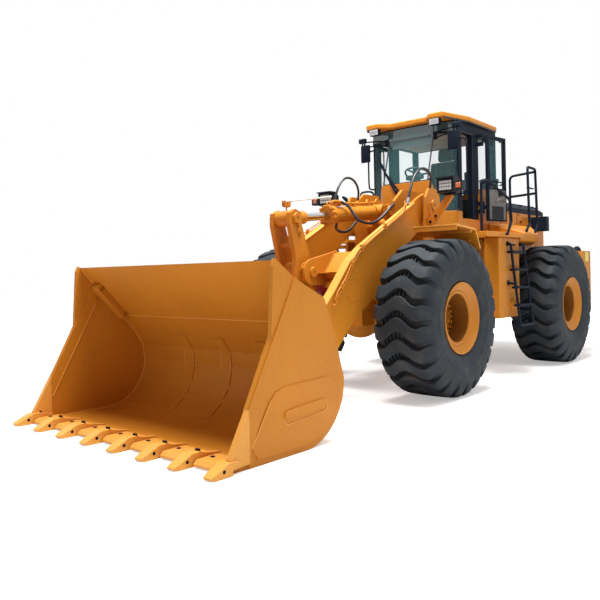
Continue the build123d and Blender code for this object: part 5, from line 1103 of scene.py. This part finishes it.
# ---- hood, grille and tail ----
HOOD_SIDE = 0.6195                      # outward face of the hood
STACK, CLEANER = (-3.5, -0.2), (-3.45, 0.22)
for _ in sides():
    for x in (-2.98, -3.62, -4.2):
        box((x, HOOD_SIDE, 1.52), (x - 0.008, 0.6245, 2.43))
    for x, z in ((-3.1, 2.28), (-3.1, 1.72), (-3.74, 2.28), (-3.74, 1.72), (-4.36, 2.3), (-4.36, 1.72)):
        rounded_box((x, 0.618, z), (x - 0.07, 0.63, z + 0.035), 0.004, 2)
    for x in (-2.9, -3.3, -3.7, -4.1, -4.5):
        bolt((x, HOOD_SIDE, 2.415), OUT, 0.01, 0.01)
made("hood_latches", REAR, BLACK, 0.001)
for _ in sides():
    for x in (-2.78, -3.2, -3.9, -4.6):
        bar([(x, 0.56, 2.585), (x - 0.03, 0.56, 2.585)], OUT, 0.05, 0.03)
    for z in (2.1, 2.3):
        bolt((-2.93, HOOD_SIDE, z), OUT, 0.012, 0.012)
for x in (-3.55 - step * 0.05 for step in range(12)):
    box((x, -0.34, 2.6085), (x - 0.022, 0.34, 2.6135))
rod((-3.55, -0.2, 2.61), (-3.55, -0.2, 2.64), 0.1, 32)
made("hood_louvres", REAR, BLACK, 0.002)
for _ in sides():
    box((-4.345, 0.65, 2.18), (-4.352, 0.74, 2.37))
    box((-4.345, 0.76, 2.18), (-4.352, 0.87, 2.37))
made("rear_lamp_glass", REAR, RED_LENS, 0.004)
for _ in sides():
    place = Matrix.Translation(shape.spot((-4.84, 1.18, 1.8))) @ Matrix.Diagonal((0.07, 0.07, 0.088, 1))
    bmesh.ops.create_uvsphere(shape.mesh, u_segments=24, v_segments=12, radius=1.0, matrix=place)
made("tail_lamps", REAR, BLACK)
for _ in sides():
    box((-4.9, 1.2985, 1.62), (-5.05, 1.3035, 1.785))
made("tail_stripes", REAR, STRIPE, 0.001)
for y in (-0.52 + step * 0.0693 for step in range(16)):
    box((-4.785, y - 0.004, 1.56), (-4.793, y + 0.004, 2.36))
for _ in sides():
    for z in (1.6, 2.34):
        bolt((-4.781, 0.56, z), (-1, 0, 0), 0.012, 0.014)
    for z in (1.05, 1.65):
        rod((-5.548, 0.8, z), (-5.556, 0.8, z), 0.04, 24)
rod((-5.46, 0, 1.18), (-5.46, 0, 1.215), 0.045, 24)
rod((-5.46, -0.06, 1.235), (-5.46, 0.06, 1.235), 0.01, 12)
made("grille_mesh", REAR, BLACK, 0.001)
for z in (2.7, 2.86, 3.02):
    ring((*STACK, z), UP, [(0.074, 0), (0.082, 0.002), (0.082, 0.022), (0.074, 0.024)], 40)
for z in (2.83, 2.9, 2.96):
    ring((*CLEANER, z), UP, [(0.149, 0), (0.156, 0.002), (0.156, 0.012), (0.149, 0.014)], 48)
ring((*CLEANER, 2.998), UP, [(0, 0), (0.165, 0), (0.16, 0.02), (0.08, 0.045), (0, 0.052)], 48)
made("stack_bands", REAR, BLACK, 0.001)
for _ in sides():
    box((-2.4, 1.23, 2.018), (-2.8, 1.262, 2.028))
    for x in (-1.3, -1.55, -1.8, -2.05, -2.28):
        bolt((x, 1.19 + 0.045 * (-x - 1.2), 2.0195), UP, 0.01, 0.01)
    for x, y in ((-2.74, 1.1), (-3.2, 0.95), (-3.8, 0.75), (-2.6, 0.75)):
        bolt((x, y, 2.04 + 0.195 * (1.245 - y) / 0.625 + 0.002), (0, 0.3, 1), 0.01, 0.012)
made("deck_bolts", REAR, ORANGE, 0.001)
for _ in sides():
    for z in (3.03, 2.72):
        bar([(-2.645, 1.215, z), (-2.86, 1.205, z)], OUT, 0.045, 0.012)
made("hoop_plates", REAR, BLACK, 0.002)

# ---- drive line ----
rod((-0.33, 0, HUB_Z), (-1.25, 0, 0.985), 0.052, 24)
for x, z in ((-0.36, HUB_Z), (-1.22, 0.983)):
    rod((x, 0, z), (x - 0.05, 0, z), 0.085, 32)
made("front_prop_shaft", FRONT, BLACK)

# ---- light and floor ----
world = bpy.data.worlds.new("studio")
world.use_nodes = True
bpy.context.scene.world = world
sky = world.node_tree
ray = add_node(sky, "LightPath").outputs
seen = add_node(sky, "Math", {0: ray["Is Camera Ray"], 1: ray["Is Transmission Ray"]}, operation="MAXIMUM")
seen = add_node(sky, "Math", {0: seen.outputs[0], 1: ray["Is Glossy Ray"]}, operation="MAXIMUM")
glow = add_node(sky, "MapRange", {"Value": seen.outputs[0], "To Min": 0.34, "To Max": 1.0})
fill(sky, sky.nodes["Background"], {"Color": (1, 1, 1, 1), "Strength": glow.outputs["Result"]})


def soft_lamp(name, place, aim, size, power):
    lamp = bpy.data.lights.new(name, "AREA")
    lamp.shape = "DISK"
    lamp.size = size
    lamp.energy = power
    place, aim = Vector(place), Vector(aim)
    turned = (aim - place).to_track_quat("-Z", "Y").to_matrix().to_4x4()
    placed(name, lamp).matrix_world = Matrix.Translation(place) @ turned


soft_lamp("overhead", (1.7, 0.7, 12), (0.6, 0, 0), 7, 3080)
soft_lamp("left_fill", (0.5, 8, 11), (0.5, 0, 1), 6, 300)

pale = bpy.data.materials.new("studio_floor")
pale.use_nodes = True
kit = pale.node_tree
place = add_node(kit, "TexCoord").outputs["Object"]
away = add_node(kit, "VectorMath", {0: place}, operation="LENGTH").outputs["Value"]
glow = add_node(kit, "MapRange", {
    "Value": away, "From Min": 4.0, "From Max": 9.5, "To Min": 0.4, "To Max": 1.0})
ray = add_node(kit, "LightPath").outputs["Is Camera Ray"]
shown = add_node(kit, "Math", {0: glow.outputs["Result"], 1: ray}, operation="MULTIPLY").outputs[0]
fill(kit, kit.nodes["Principled BSDF"], {
    "Base Color": (0.82, 0.82, 0.82, 1), "Roughness": 0.9, "Specular IOR Level": 0,
    "Emission Color": (1, 1, 1, 1), "Emission Strength": shown})
bmesh.ops.create_circle(shape.mesh, cap_ends=True, segments=96, radius=60)
floor = placed("floor", shape.taken("floor"))
floor.data.materials.append(pale)
floor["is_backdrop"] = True
bpy.context.scene.view_settings.view_transform = "Standard"

low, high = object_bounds()
{"cad": [list(cad_low), list(cad_high)], "visual": [list(low), list(high)]}
